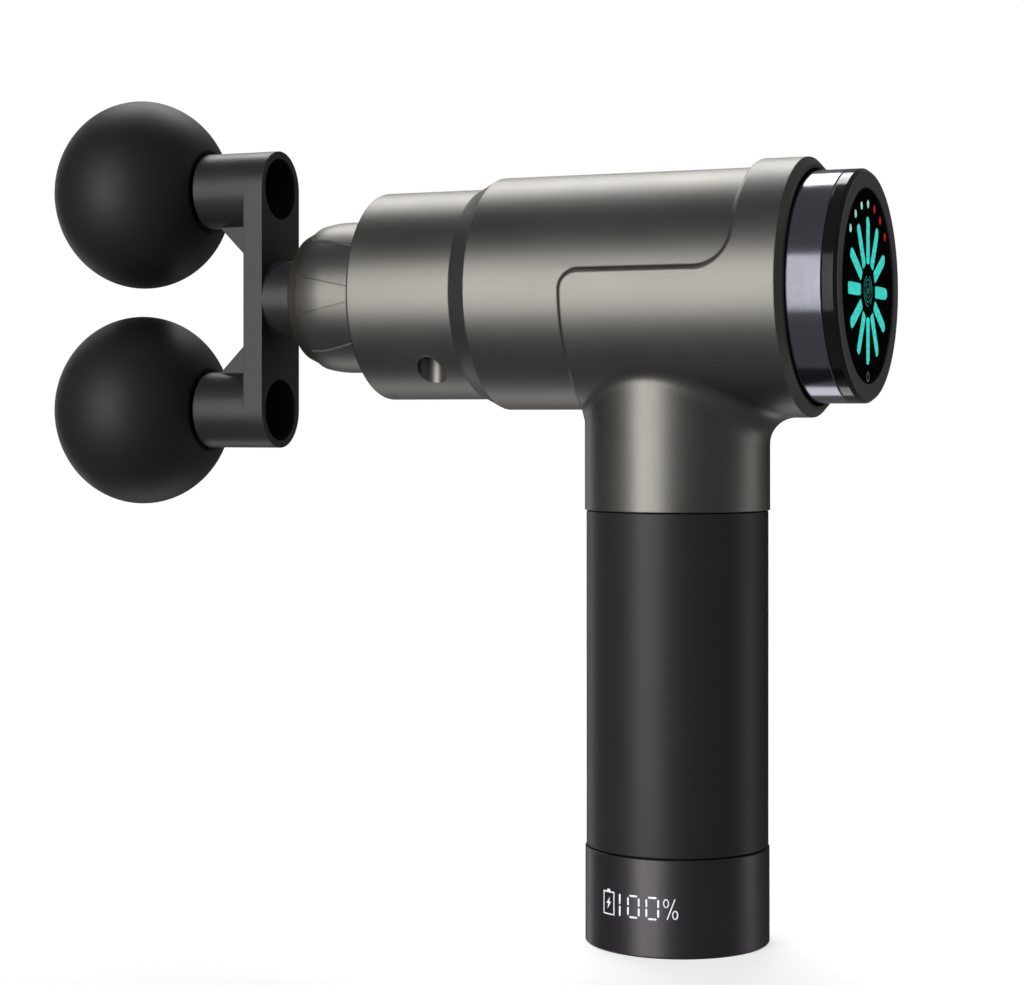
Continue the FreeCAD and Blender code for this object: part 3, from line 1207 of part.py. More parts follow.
def wiring():
    return motor_leads() + battery_leads() + [display_ribbon()]


def panel_symbols():
    return touch_mark() + power_mark()


def ball_upper():
    return ball(arm_heights()[0])


def ball_lower():
    return ball(arm_heights()[1])


PARTS = [
    main_housing, nose_cone, nose_ring, nose_wiper, guide_bush, motor_frame, barrel_screws,
    motor_base, motor_screws, motor_bearings, stator_core, stator_windings, neck_terminal, wiring,
    rotor_can, rotor_magnets, motor_shaft, crank, crank_set_screw,
    connecting_rod, crank_bearing, crank_pin, small_end_bush, piston, wrist_pin, socket_spring,
    fork, head_oring, ball_upper, ball_lower, ball_inserts, ball_washers, ball_screws,
    display_ring, display_bezel, display_lens, mode_bars, speed_dots, load_dots, panel_symbols, light_guide,
    display_board, control_board, board_screws, board_parts,
    battery_tube, grip_sleeve, base_cap, readout, base_screws, foot_block, charge_socket,
    switch_body, switch_rocker, cells, cell_holders, cell_straps, charge_electronics, pack_terminal,
]


def export(name, made):
    """Writes one STEP per node; a list of solids becomes one group."""
    solids = []
    for shape in made if isinstance(made, list) else [made]:
        solids += shape.Solids
    assert solids and all(s.isValid() and s.Volume > 0 for s in solids), name
    shape = solids[0] if len(solids) == 1 else Part.makeCompound(solids)
    shape.exportStep(os.path.join("parts", name + ".step"))


os.makedirs("parts", exist_ok=True)
for maker in PARTS:
    export(maker.__name__, maker())
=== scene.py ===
# %% [markdown]
# # A percussion massage gun
# The gun is a die-cast barrel and neck, a battery handle in a silicone skin, and a forked head that
# carries two balls. Its solid model is already exact to a tenth of a millimetre, so this lesson keeps
# those shapes. It adds what a solid model lacks: finishes, small repeated marks, balls, light and a
# camera. The model is loaded first and is never moved afterwards.

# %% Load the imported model
import bpy
import json
import math
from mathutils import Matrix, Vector

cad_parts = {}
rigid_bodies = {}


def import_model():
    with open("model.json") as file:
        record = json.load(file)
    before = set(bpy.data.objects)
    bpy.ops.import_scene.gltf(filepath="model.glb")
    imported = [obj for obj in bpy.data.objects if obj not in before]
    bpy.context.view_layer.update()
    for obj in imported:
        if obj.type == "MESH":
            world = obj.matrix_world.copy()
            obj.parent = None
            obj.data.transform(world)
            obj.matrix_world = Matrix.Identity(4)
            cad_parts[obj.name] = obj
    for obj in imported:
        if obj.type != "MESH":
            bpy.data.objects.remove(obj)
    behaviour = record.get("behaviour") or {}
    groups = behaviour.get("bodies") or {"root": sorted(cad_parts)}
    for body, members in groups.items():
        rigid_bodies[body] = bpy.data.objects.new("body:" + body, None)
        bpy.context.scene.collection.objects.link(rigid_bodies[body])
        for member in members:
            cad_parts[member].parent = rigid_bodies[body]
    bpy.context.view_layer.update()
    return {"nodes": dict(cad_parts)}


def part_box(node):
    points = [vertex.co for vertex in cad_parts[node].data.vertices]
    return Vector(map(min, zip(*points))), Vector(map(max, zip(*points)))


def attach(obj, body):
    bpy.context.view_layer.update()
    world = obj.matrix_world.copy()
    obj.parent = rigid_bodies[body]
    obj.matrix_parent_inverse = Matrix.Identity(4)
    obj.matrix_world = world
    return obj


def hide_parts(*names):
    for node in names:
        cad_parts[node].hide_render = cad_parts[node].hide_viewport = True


for leftover in list(bpy.data.objects):
    bpy.data.objects.remove(leftover)
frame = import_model()
nodes = frame["nodes"]
MM = 0.001

# %% [markdown]
# ## Camera
# A product picture of a gun is usually taken from far away with a long lens, so that the barrel's
# ellipses stay slim. The camera looks level at the gun, from the display's side. A small vertical shift
# frames the handle's foot without tilting the camera, which keeps the handle's sides upright.

# %% Camera
LENS_MM, SENSOR_MM = 83.63, 36.0
SHIFT_DOWN = 0.0715                      # part of the picture's width
CAMERA_AT = (0.2110, -0.5890, 0.1364)
CAMERA_WAY = (-0.4017, 0.9158, 0.0)

lens = bpy.data.cameras.new("studio_camera")
lens.lens, lens.sensor_width = LENS_MM, SENSOR_MM
lens.shift_x, lens.shift_y = 0.0, -SHIFT_DOWN
lens.clip_start, lens.clip_end = 0.01, 50.0
camera = bpy.data.objects.new("studio_camera", lens)
camera.location = CAMERA_AT
camera.rotation_euler = Vector(CAMERA_WAY).to_track_quat("-Z", "Y").to_euler()
bpy.context.scene.collection.objects.link(camera)
bpy.context.scene.camera = camera
bpy.context.scene.view_settings.view_transform = "Standard"
print("camera", [round(v, 3) for v in camera.location], "lens", lens.lens, "mm")

# %% [markdown]
# ## Small helpers for every finish
# Colours are picked as sRGB hex values, because that is what a swatch book or a screen shows. Blender
# computes in linear light, so one function turns a swatch into what a socket expects. A second function
# adds any node with its settings and links, so a finish reads as a short list of nodes. A third one finds
# the shader of a finish, for the few finishes that change something on it afterwards.

# %% Colour and node helpers
def paint(swatch):
    """sRGB hex such as 8f8d88 as a linear colour with full alpha."""
    levels = [int(swatch[i:i + 2], 16) / 255 for i in (0, 2, 4)]
    return [v / 12.92 if v <= 0.04045 else ((v + 0.055) / 1.055) ** 2.4 for v in levels] + [1.0]


def add(tree, kind, inputs=None, **settings):
    """Adds a node, sets its settings, and links or sets its inputs by name or number."""
    node = tree.nodes.new(kind)
    for name, value in settings.items():
        setattr(node, name, value)
    for name, value in (inputs or {}).items():
        if isinstance(value, bpy.types.NodeSocket):
            tree.links.new(value, node.inputs[name])
        else:
            node.inputs[name].default_value = value
    return node


def shader(made):
    """The one Principled shader of a material."""
    return next(node for node in made.node_tree.nodes if node.type == "BSDF_PRINCIPLED")


print("gunmetal swatch in linear light:", [round(v, 3) for v in paint("75736e")])

# %% [markdown]
# ## How one surface is described
# Every surface here has the same four layers. A coarse noise, centimetres wide, stands for handling and
# uneven finishing: it shifts the colour and the gloss a little. A fine noise is the grain that the mould
# or the blasting leaves, and it bumps the surface. A bevelled normal rounds every edge by a fraction of a
# millimetre, so edges catch a thin highlight as real ones do. Where that bevelled normal leaves the true
# one there is an edge, and there the finish is rubbed lighter. Creases and seams see little of the room,
# so the colour is darkened there: this is painted shade, in place of the dark lines that grooves show.

# %% Layered surface
def surface(name, tones, metallic, gloss, grain_mm, depth_mm, patch_mm=18.0, worn=None, edge_mm=0.3,
            stretch=(1, 1, 1), ior=None, crease_mm=0.6):
    """Material with patchy tone, grain of a given size, worn edges and painted shade darkening its creases.
    """
    made = bpy.data.materials.new(name)
    made.use_nodes = True
    tree = made.node_tree
    tree.nodes.clear()
    where = add(tree, "ShaderNodeTexCoord")
    drawn = add(tree, "ShaderNodeMapping", {"Vector": where.outputs["Object"], "Scale": stretch})
    grain = add(tree, "ShaderNodeTexNoise", {"Vector": drawn.outputs[0], "Scale": 1 / (grain_mm * MM),
                                             "Detail": 3.0, "Roughness": 0.6})
    patch = add(tree, "ShaderNodeTexNoise", {"Vector": where.outputs["Object"],
                                             "Scale": 1 / (patch_mm * MM), "Detail": 4.0})
    both = add(tree, "ShaderNodeMath", {0: grain.outputs["Fac"], 1: patch.outputs["Fac"]}, operation="ADD")
    tone = add(tree, "ShaderNodeMix", {0: patch.outputs["Fac"], 6: paint(tones[0]), 7: paint(tones[1])},
               data_type="RGBA")
    rough = add(tree, "ShaderNodeMapRange", {"Value": both.outputs[0], "From Min": 0.6, "From Max": 1.4,
                                             "To Min": gloss[0], "To Max": gloss[1]})
    soft = add(tree, "ShaderNodeBevel", {"Radius": edge_mm * MM}, samples=4)
    bump = add(tree, "ShaderNodeBump", {"Height": grain.outputs["Fac"], "Distance": depth_mm * MM,
                                        "Normal": soft.outputs[0]})
    true = add(tree, "ShaderNodeNewGeometry")
    near = add(tree, "ShaderNodeVectorMath", {0: soft.outputs[0], 1: true.outputs["Normal"]},
               operation="DOT_PRODUCT")
    edge = add(tree, "ShaderNodeMapRange", {"Value": near.outputs["Value"], "From Min": 0.97,
                                            "From Max": 0.80, "To Min": 0.0, "To Max": 0.7})
    rub = add(tree, "ShaderNodeMath", {0: edge.outputs[0], 1: both.outputs[0]}, operation="MULTIPLY")
    colour = add(tree, "ShaderNodeMix", {0: rub.outputs[0], 6: tone.outputs[2],
                                         7: paint(worn or tones[1])}, data_type="RGBA")
    # Painted shade: the colour falls to a quarter where the occlusion finds close surfaces, in creases and
    # seams.
    open_sky = add(tree, "ShaderNodeAmbientOcclusion", {"Distance": crease_mm * MM}, samples=6)
    crease_shade = add(tree, "ShaderNodeMapRange", {"Value": open_sky.outputs["AO"], "From Min": 0.35,
                                            "From Max": 0.8, "To Min": 0.25, "To Max": 1.0})
    crease_shaded = add(tree, "ShaderNodeVectorMath", {0: colour.outputs[2], "Scale": crease_shade.outputs[0]},
                   operation="SCALE")
    body = add(tree, "ShaderNodeBsdfPrincipled", {
        "Base Color": crease_shaded.outputs[0], "Metallic": metallic, "Roughness": rough.outputs[0],
        "Normal": bump.outputs[0]})
    if ior:
        body.inputs["IOR"].default_value = ior
    add(tree, "ShaderNodeOutputMaterial", {"Surface": body.outputs[0]})
    return made


finish = {}

# %% [markdown]
# ## Gunmetal: anodised aluminium
# The housing is cast, blasted with fine beads and anodised a warm dark grey. Anodising leaves a metal
# that reflects, but so softly that lamps become broad bands along the barrel. The bead marks are a few
# hundredths of a millimetre wide, too fine to show, so the grain is drawn at half a millimetre. Edges rub
# through to lighter metal. The nose ring is a slightly browner batch of the same finish.

# %% Gunmetal
finish["gunmetal"] = surface("anodised aluminium, bead blasted", ("75736e", "7f7d78"), 1.0, (0.38, 0.46),
                             0.5, 0.006, worn="9a9892", edge_mm=0.35)
finish["ring_brown"] = surface("anodised aluminium, dark bronze", ("7d786d", "878277"), 1.0, (0.38, 0.48),
                               0.5, 0.006, worn="98948a")
print("gunmetal nodes:", len(finish["gunmetal"].node_tree.nodes))

# %% [markdown]
# ## Chrome and the display's plastics
# The ring behind the collar is plated and polished: almost no roughness, faint polishing haze, and the
# studio shows in it as hard white and black bands. The bezel is ABS. Its sloping rim is polished to piano
# black and its face is left satin, so one material blends two finishes by distance from the dial's centre.

# %% Chrome
finish["chrome"] = surface("chromium plate, polished", ("90909a", "9898a2"), 1.0, (0.11, 0.16), 1.5,
                           0.0006, patch_mm=30.0, edge_mm=0.15)

# %% Bezel with two finishes
BEZEL_LIP_MM = 29.0
LIP_BLEND_MM = 0.15
finish["gloss_black"] = surface("abs, piano black", ("0b0b0c", "101011"), 0.0, (0.08, 0.14), 0.8, 0.001,
                                ior=1.54, worn="2a2a2c", edge_mm=0.2)


def bezel_finish(face, face_gloss, lip_mm):
    """A copy of piano black that is satin and lighter inside a radius round the barrel's axis."""
    made = finish["gloss_black"].copy()
    made.name = "abs, satin face and polished rim"
    tree = made.node_tree
    body = shader(made)
    where = add(tree, "ShaderNodeTexCoord")
    middle = (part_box("display_bezel")[0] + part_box("display_bezel")[1]) / 2
    flat = add(tree, "ShaderNodeVectorMath", {0: where.outputs["Object"], 1: (0.0, 1.0, 1.0)},
               operation="MULTIPLY")
    reach = add(tree, "ShaderNodeVectorMath", {0: flat.outputs[0], 1: (0.0, middle.y, middle.z)},
                operation="DISTANCE")
    inside = add(tree, "ShaderNodeMapRange", {"Value": reach.outputs["Value"], "From Min": lip_mm * MM,
                                              "From Max": (lip_mm + LIP_BLEND_MM) * MM,
                                              "To Min": 1.0, "To Max": 0.0})
    for socket, value, kind in (("Base Color", paint(face), "RGBA"), ("Roughness", face_gloss, "FLOAT")):
        old = body.inputs[socket].links[0].from_socket
        a, b, out = (6, 7, 2) if kind == "RGBA" else (2, 3, 0)
        mixed = add(tree, "ShaderNodeMix", {0: inside.outputs[0], a: old, b: value}, data_type=kind)
        tree.links.new(mixed.outputs[out], body.inputs[socket])
    return made


finish["bezel"] = bezel_finish("68686c", 0.40, BEZEL_LIP_MM)
print("bezel turns satin inside", BEZEL_LIP_MM, "mm")

# %% [markdown]
# ## Black glass and lit marks
# The dial is one disc of black glass with windows printed in it. Glass is a smooth dielectric with an
# index of 1.5. A coating cuts more than half of its glare, and smudges make its gloss uneven. A lit window
# is a light behind a coloured film. It glows nearly evenly, so a little emission, stronger in some spots
# than in others, sits on top of its own colour.

# %% Glass and lights
COATED_GLARE = 0.2                       # 0.5 is bare glass
finish["panel_glass"] = surface("glass, black backed", ("050506", "08080a"), 0.0, (0.04, 0.10), 6.0, 0.0004,
                                patch_mm=12.0, ior=1.5, edge_mm=0.15)
shader(finish["panel_glass"]).inputs["Specular IOR Level"].default_value = COATED_GLARE


GLOW_SPOT_MM = 0.9


def lit(name, swatch, glow):
    """Lit window: glossy film over a light of its own colour."""
    made = surface(name, (swatch, swatch), 0.0, (0.25, 0.35), 0.6, 0.0006, edge_mm=0.1, ior=1.5)
    tree = made.node_tree
    body = shader(made)
    where = add(tree, "ShaderNodeTexCoord")
    uneven = add(tree, "ShaderNodeTexNoise", {"Vector": where.outputs["Object"],
                                              "Scale": 1 / (GLOW_SPOT_MM * MM)})
    level = add(tree, "ShaderNodeMapRange", {"Value": uneven.outputs["Fac"], "From Min": 0.3,
                                             "From Max": 0.7, "To Min": glow * 0.55, "To Max": glow * 1.4})
    body.inputs["Emission Color"].default_value = paint(swatch)
    tree.links.new(level.outputs[0], body.inputs["Emission Strength"])
    return made


finish["teal_light"] = lit("lit film, teal", "3cd6c6", 0.8)
finish["green_light"] = lit("lit film, pale green", "a8ecd8", 0.6)
finish["red_light"] = lit("lit film, red", "c01820", 0.55)
finish["white_light"] = lit("lit film, white", "e6eaee", 0.55)

# %% Dim touch mark, grey power mark
def symbol_finish(reach_mm):
    """White film that turns dim teal within a radius of the dial's centre."""
    made = finish["white_light"].copy()
    made.name = "lit film, teal touch mark and grey symbols"
    tree = made.node_tree
    body = shader(made)
    low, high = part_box("mode_bars")
    where = add(tree, "ShaderNodeTexCoord")
    reach = add(tree, "ShaderNodeVectorMath", {0: where.outputs["Object"], 1: tuple((low + high) / 2)},
                operation="DISTANCE")
    outside = add(tree, "ShaderNodeMath", {0: reach.outputs["Value"], 1: reach_mm * MM},
                  operation="GREATER_THAN")
    swatch = add(tree, "ShaderNodeMix", {0: outside.outputs[0], 6: paint("1f7a70"), 7: paint("77777c")},
                 data_type="RGBA")
    for socket in ("Base Color", "Emission Color"):
        tree.links.new(swatch.outputs[2], body.inputs[socket])
    return made


TOUCH_REACH_MM = 6.0
finish["symbols"] = symbol_finish(TOUCH_REACH_MM)
print("symbols turn teal inside", TOUCH_REACH_MM, "mm")

# %% [markdown]
# ## Rubber, silicone and moulded plastics
# The grip's skin is silicone: matte, slightly translucent to look at, and very faintly pebbled so that it
# does not slip. The base, fork and inner parts are nylon and ABS with a spark-eroded grain. Neither is
# ever one flat grey: gloss follows the mould's wear, and edges are burnished.

# %% Silicone and plastics
finish["silicone"] = surface("silicone rubber, pebbled", ("2a2a2c", "303033"), 0.0, (0.38, 0.46), 0.55,
                             0.02, ior=1.41, worn="3a3a3d", edge_mm=0.4)
finish["base_plastic"] = surface("abs, satin metallic paint", ("4c494c", "545154"), 0.85, (0.34, 0.42), 0.5,
                                 0.006, ior=1.5, worn="77747c", edge_mm=0.35)
finish["fork_plastic"] = surface("glass-filled nylon, satin", ("2b2b2e", "323236"), 0.0, (0.36, 0.46), 0.5,
                                 0.012, ior=1.53, worn="6a6a6f", edge_mm=0.45)
finish["black_plastic"] = surface("nylon, black", ("1c1c1d", "232324"), 0.0, (0.45, 0.6), 0.5, 0.012,
                                  ior=1.53, worn="3a3a3c")
finish["grey_plastic"] = surface("abs, grey", ("8e8e90", "98989a"), 0.0, (0.45, 0.58), 0.5, 0.01, ior=1.5,
                                 worn="b0b0b2")
finish["diffuser"] = surface("acrylic, milky", ("dadad6", "e6e6e2"), 0.0, (0.3, 0.42), 0.6, 0.004, ior=1.49)
finish["rubber"] = surface("nitrile rubber", ("141414", "1b1b1b"), 0.0, (0.42, 0.56), 0.4, 0.01, ior=1.52,
                           worn="2c2c2c")
finish["ball_foam"] = surface("eva foam, skinned", ("18181b", "1f1f23"), 0.0, (0.50, 0.60), 0.6, 0.02,
                              patch_mm=25.0, ior=1.48, worn="2b2b2d", edge_mm=0.5)

# %% [markdown]
# ## Metals, wire and felt inside
# The parts inside show when a section is cut or a joint moves: turned steel with fine rings, die-cast
# frame alloy with a grainy skin, sintered bronze, nickelled magnets, enamelled copper and shrink sleeve.
# Turned and drawn metals have grain along one direction, so their noise is stretched.

# %% Inner finishes
PLAIN, ALONG_X, ALONG_Z, WOUND = (1, 1, 1), (6, 1, 1), (1, 1, 6), (1, 1, 9)
INNER = {
    # slot: name, tones, metallic, gloss, grain mm, depth mm, worn, stretch
    "steel": ("steel, turned", ("a9aaad", "b9babd"), 1.0, (0.22, 0.36), 0.5, 0.005, "d2d2d4", ALONG_Z),
    "magnet": ("nickel plate", ("b4b4ae", "c2c1ba"), 1.0, (0.14, 0.24), 0.6, 0.003, "dcdbd6", PLAIN),
    "copper": ("copper wire, enamelled", ("a8532a", "bd6a38"), 1.0, (0.22, 0.4), 0.5, 0.05, "d08a58",
               WOUND),
    "frame_alloy": ("zinc alloy, die cast", ("8f9093", "a0a1a4"), 1.0, (0.38, 0.5), 0.7, 0.015, "bcbdc0",
                    PLAIN),
    "bronze": ("bronze, sintered", ("9a7440", "ad8650"), 1.0, (0.35, 0.5), 0.35, 0.01, "c9a468", PLAIN),
    "brass": ("brass, turned", ("b8924e", "c8a45e"), 1.0, (0.2, 0.32), 0.5, 0.005, "dcc080", ALONG_X),
    "board_green": ("solder mask on glass epoxy", ("0f4a2a", "155a34"), 0.0, (0.25, 0.4), 0.8, 0.01,
                    "2a7a4c", PLAIN),
    "cell_wrap": ("pvc shrink sleeve", ("1c5a86", "246a98"), 0.0, (0.25, 0.35), 0.9, 0.004, "3a82b0",
                  PLAIN),
    "cable": ("pvc insulated wire", ("7a1414", "8c1c1c"), 0.0, (0.4, 0.5), 0.5, 0.005, "a04040", PLAIN),
    "felt": ("wool felt", ("c4bda9", "d2ccba"), 0.0, (0.85, 0.95), 0.3, 0.08, "dcd7c8", PLAIN),
}
for slot_name, (name, tones, metallic, gloss, grain, depth, worn, stretch) in INNER.items():
    finish[slot_name] = surface(name, tones, metallic, gloss, grain, depth, worn=worn, stretch=stretch,
                                ior=None if metallic else 1.5)
print(len(finish), "finishes")

# %% [markdown]
# ## Dress the solid model
# Each solid already names the finish it wants in its material slot, so one loop dresses all of them. Only
# the bezel and the dial's symbols need their own two-part finishes.

# %% Dress the solids
SPECIAL = {"display_bezel": "bezel", "panel_symbols": "symbols"}
for name, solid in nodes.items():
    for place in solid.material_slots:
        if place.material:
            wanted = place.material.name.split(".")[0]
            place.material = finish[SPECIAL.get(name, wanted)]
print("dressed", len(nodes), "solids")

# %% [markdown]
# ## A helper for Geometry Nodes pieces
# A node tree can hold the rule of a shape, with its sizes as named inputs. The helper makes an object for
# a tree, sets the inputs by their identifiers, and then freezes the result into a plain mesh, because a
# finished piece must not depend on a live modifier.

# %% Tree and freeze helpers
def new_tree(name, sizes):
    """Geometry tree with float or integer inputs and a material input; returns it with its two ends."""
    tree = bpy.data.node_groups.new(name, "GeometryNodeTree")
    for label, value in sizes.items():
        kind = "NodeSocketInt" if isinstance(value, int) else "NodeSocketFloat"
        tree.interface.new_socket(name=label, in_out="INPUT", socket_type=kind).default_value = value
    tree.interface.new_socket(name="Material", in_out="INPUT", socket_type="NodeSocketMaterial")
    tree.interface.new_socket(name="Geometry", in_out="OUTPUT", socket_type="NodeSocketGeometry")
    return tree, add(tree, "NodeGroupInput"), add(tree, "NodeGroupOutput")


def finish_tree(tree, asked, end, geometry, turn, place):
    """Turns and places the geometry, then realizes it and sets its material."""
    moved = add(tree, "GeometryNodeTransform", {"Geometry": geometry, "Rotation": turn,
                                                "Translation": place})
    real = add(tree, "GeometryNodeRealizeInstances", {"Geometry": moved.outputs[0]})
    dressed = add(tree, "GeometryNodeSetMaterial", {"Geometry": real.outputs[0],
                                                    "Material": asked.outputs["Material"]})
    tree.links.new(dressed.outputs[0], end.inputs[0])


def grow(name, tree, body, slot_name, stands_for, **sizes):
    """Evaluates a tree once and keeps its mesh as a piece that rides on a body."""
    seed = bpy.data.objects.new(name + "_seed", bpy.data.meshes.new(name + "_seed"))
    bpy.context.scene.collection.objects.link(seed)
    modifier = seed.modifiers.new("shape", "NODES")
    modifier.node_group = tree
    for item in tree.interface.items_tree:
        if item.in_out == "INPUT" and item.name == "Material":
            modifier[item.identifier] = finish[slot_name]
        elif item.in_out == "INPUT" and item.name in sizes:
            modifier[item.identifier] = sizes[item.name]
    bpy.context.view_layer.update()
    ready = seed.evaluated_get(bpy.context.evaluated_depsgraph_get())
    mesh = bpy.data.meshes.new_from_object(ready)
    seed.modifiers.remove(modifier)
    bpy.data.objects.remove(seed)
    mesh.name = name
    piece = bpy.data.objects.new(name, mesh)
    bpy.context.scene.collection.objects.link(piece)
    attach(piece, body)
    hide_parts(*stands_for)
    print(name, len(mesh.vertices), "points", len(mesh.polygons), "faces")
    return piece


# %% [markdown]
# ## The two balls
# A massage ball is skinned foam on a threaded post. It is a sphere pressed slightly flat along the
# barrel, with a round pocket where the fork's arm enters. That is a rule, so a tree makes it: a unit
# sphere is scaled by its radius and half length, and every point inside the pocket's radius sinks by the
# pocket's depth. One function makes the tree for each ball, at its own height.

# %% Ball tree
def ball_tree(height):
    """Flattened sphere with a pocket on its +X side, centred at a height."""
    tree, asked, end = new_tree("ball_rule", {"Radius": 0.027, "Half Length": 0.0258, "Pocket": 0.011,
                                              "Depth": 0.0043, "Along": -0.1628, "Segments": 128})
    ball = add(tree, "GeometryNodeMeshUVSphere", {"Segments": asked.outputs["Segments"],
                                                  "Rings": asked.outputs["Segments"], "Radius": 1.0})
    size = add(tree, "ShaderNodeCombineXYZ", {"X": asked.outputs["Radius"], "Y": asked.outputs["Radius"],
                                              "Z": asked.outputs["Half Length"]})
    pressed = add(tree, "GeometryNodeTransform", {"Geometry": ball.outputs[0], "Scale": size.outputs[0]})
    spot = add(tree, "GeometryNodeInputPosition")
    parts = add(tree, "ShaderNodeSeparateXYZ", {0: spot.outputs[0]})
    flat = add(tree, "ShaderNodeCombineXYZ", {"X": parts.outputs[0], "Y": parts.outputs[1]})
    reach = add(tree, "ShaderNodeVectorMath", {0: flat.outputs[0]}, operation="LENGTH")
    within = add(tree, "ShaderNodeMath", {0: reach.outputs["Value"], 1: asked.outputs["Pocket"]},
                 operation="LESS_THAN")
    ahead = add(tree, "ShaderNodeMath", {0: parts.outputs[2], 1: 0.0}, operation="GREATER_THAN")
    sunk = add(tree, "ShaderNodeMath", {0: within.outputs[0], 1: ahead.outputs[0]}, operation="MULTIPLY")
    drop = add(tree, "ShaderNodeMath", {0: sunk.outputs[0], 1: asked.outputs["Depth"]},
               operation="MULTIPLY")
    down = add(tree, "ShaderNodeMath", {0: drop.outputs[0], 1: -1.0}, operation="MULTIPLY")
    shift = add(tree, "ShaderNodeCombineXYZ", {"Z": down.outputs[0]})
    pocket = add(tree, "GeometryNodeSetPosition", {"Geometry": pressed.outputs[0],
                                                   "Offset": shift.outputs[0]})
    smooth = add(tree, "GeometryNodeSetShadeSmooth", {"Geometry": pocket.outputs[0]})
    place = add(tree, "ShaderNodeCombineXYZ", {"X": asked.outputs["Along"], "Z": height})
    finish_tree(tree, asked, end, smooth.outputs[0], (0.0, math.radians(90), 0.0), place.outputs[0])
    return tree


for name in ("ball_upper", "ball_lower"):
    low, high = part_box(name)
    middle = (low + high) / 2
    grow(name + "_skin", ball_tree(middle.z), "head", "ball_foam", [name],
         **{"Radius": (high.z - low.z) / 2, "Half Length": (high.x - low.x) / 2, "Along": middle.x})

# %% [markdown]
# ## The dial's bars and dots
# Twelve bars stand round the dial like the hours of a clock, one for each mode, and seven dots arc over
# them. Copying by hand would hide the rule, so a tree makes one bar or dot and an instance of it on each
# point of a circle. A bar is a thin slab of many slices, and each slice is made narrower towards the outer
# end and at both rounded tips.

# %% Bar tree
MARK_THICK = 0.0005
FACE_DISPLAY = (math.radians(90), 0.0, math.radians(90))    # turns the XY plane to face along X


def bar_tree(centre, face_x):
    """Radial bars on a circle in the dial's plane, let into its face."""
    tree, asked, end = new_tree("bar_rule", {"Count": 12, "Inner": 0.0068, "Outer": 0.0187, "Width": 0.0030,
                                             "Thick": MARK_THICK})
    long = add(tree, "ShaderNodeMath", {0: asked.outputs["Outer"], 1: asked.outputs["Inner"]},
               operation="SUBTRACT")
    total = add(tree, "ShaderNodeMath", {0: asked.outputs["Outer"], 1: asked.outputs["Inner"]},
                operation="ADD")
    mid = add(tree, "ShaderNodeMath", {0: total.outputs[0], 1: 0.5}, operation="MULTIPLY")
    size = add(tree, "ShaderNodeCombineXYZ", {"X": long.outputs[0], "Y": asked.outputs["Width"],
                                              "Z": asked.outputs["Thick"]})
    slab = add(tree, "GeometryNodeMeshCube", {"Size": size.outputs[0], "Vertices X": 25, "Vertices Y": 2,
                                              "Vertices Z": 2})
    spot = add(tree, "GeometryNodeInputPosition")
    parts = add(tree, "ShaderNodeSeparateXYZ", {0: spot.outputs[0]})
    along = add(tree, "ShaderNodeMath", {0: parts.outputs[0], 1: long.outputs[0]}, operation="DIVIDE")
    share_along = add(tree, "ShaderNodeMath", {0: along.outputs[0], 1: 0.5}, operation="ADD")
    outline = add(tree, "ShaderNodeFloatCurve", {"Value": share_along.outputs[0]})
    line = outline.mapping.curves[0]
    line.points[0].location, line.points[1].location = (0.0, 0.62), (1.0, 0.34)
    for at, wide in ((0.05, 0.96), (0.5, 1.0), (0.84, 0.96), (0.94, 0.72)):
        line.points.new(at, wide)
    outline.mapping.update()
    wide = add(tree, "ShaderNodeMath", {0: parts.outputs[1], 1: outline.outputs[0]}, operation="MULTIPLY")
    narrowed = add(tree, "ShaderNodeCombineXYZ", {"X": parts.outputs[0], "Y": wide.outputs[0],
                                                  "Z": parts.outputs[2]})
    bar = add(tree, "GeometryNodeSetPosition", {"Geometry": slab.outputs[0],
                                                "Position": narrowed.outputs[0]})
    ring = add(tree, "GeometryNodeMeshCircle", {"Vertices": asked.outputs["Count"],
                                                "Radius": mid.outputs[0]})
    number = add(tree, "GeometryNodeInputIndex")
    share = add(tree, "ShaderNodeMath", {0: number.outputs[0], 1: asked.outputs["Count"]},
                operation="DIVIDE")
    angle = add(tree, "ShaderNodeMath", {0: share.outputs[0], 1: 2 * math.pi}, operation="MULTIPLY")
    turn = add(tree, "ShaderNodeCombineXYZ", {"Z": angle.outputs[0]})
    bars = add(tree, "GeometryNodeInstanceOnPoints", {"Points": ring.outputs[0], "Instance": bar.outputs[0],
                                                      "Rotation": turn.outputs[0]})
    finish_tree(tree, asked, end, bars.outputs[0], FACE_DISPLAY,
                (face_x - MARK_THICK / 2, centre.y, centre.z))
    return tree


low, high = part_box("mode_bars")
dial = (low + high) / 2
grow("mode_bar_set", bar_tree(dial, high.x), "housing", "teal_light", ["mode_bars"],
     Outer=(high.z - low.z) / 2)


# %% Dot tree
DOT_STEP = 0.27925                       # 16 degrees
FIRST_DOT = -0.8378                      # 48 degrees before the top


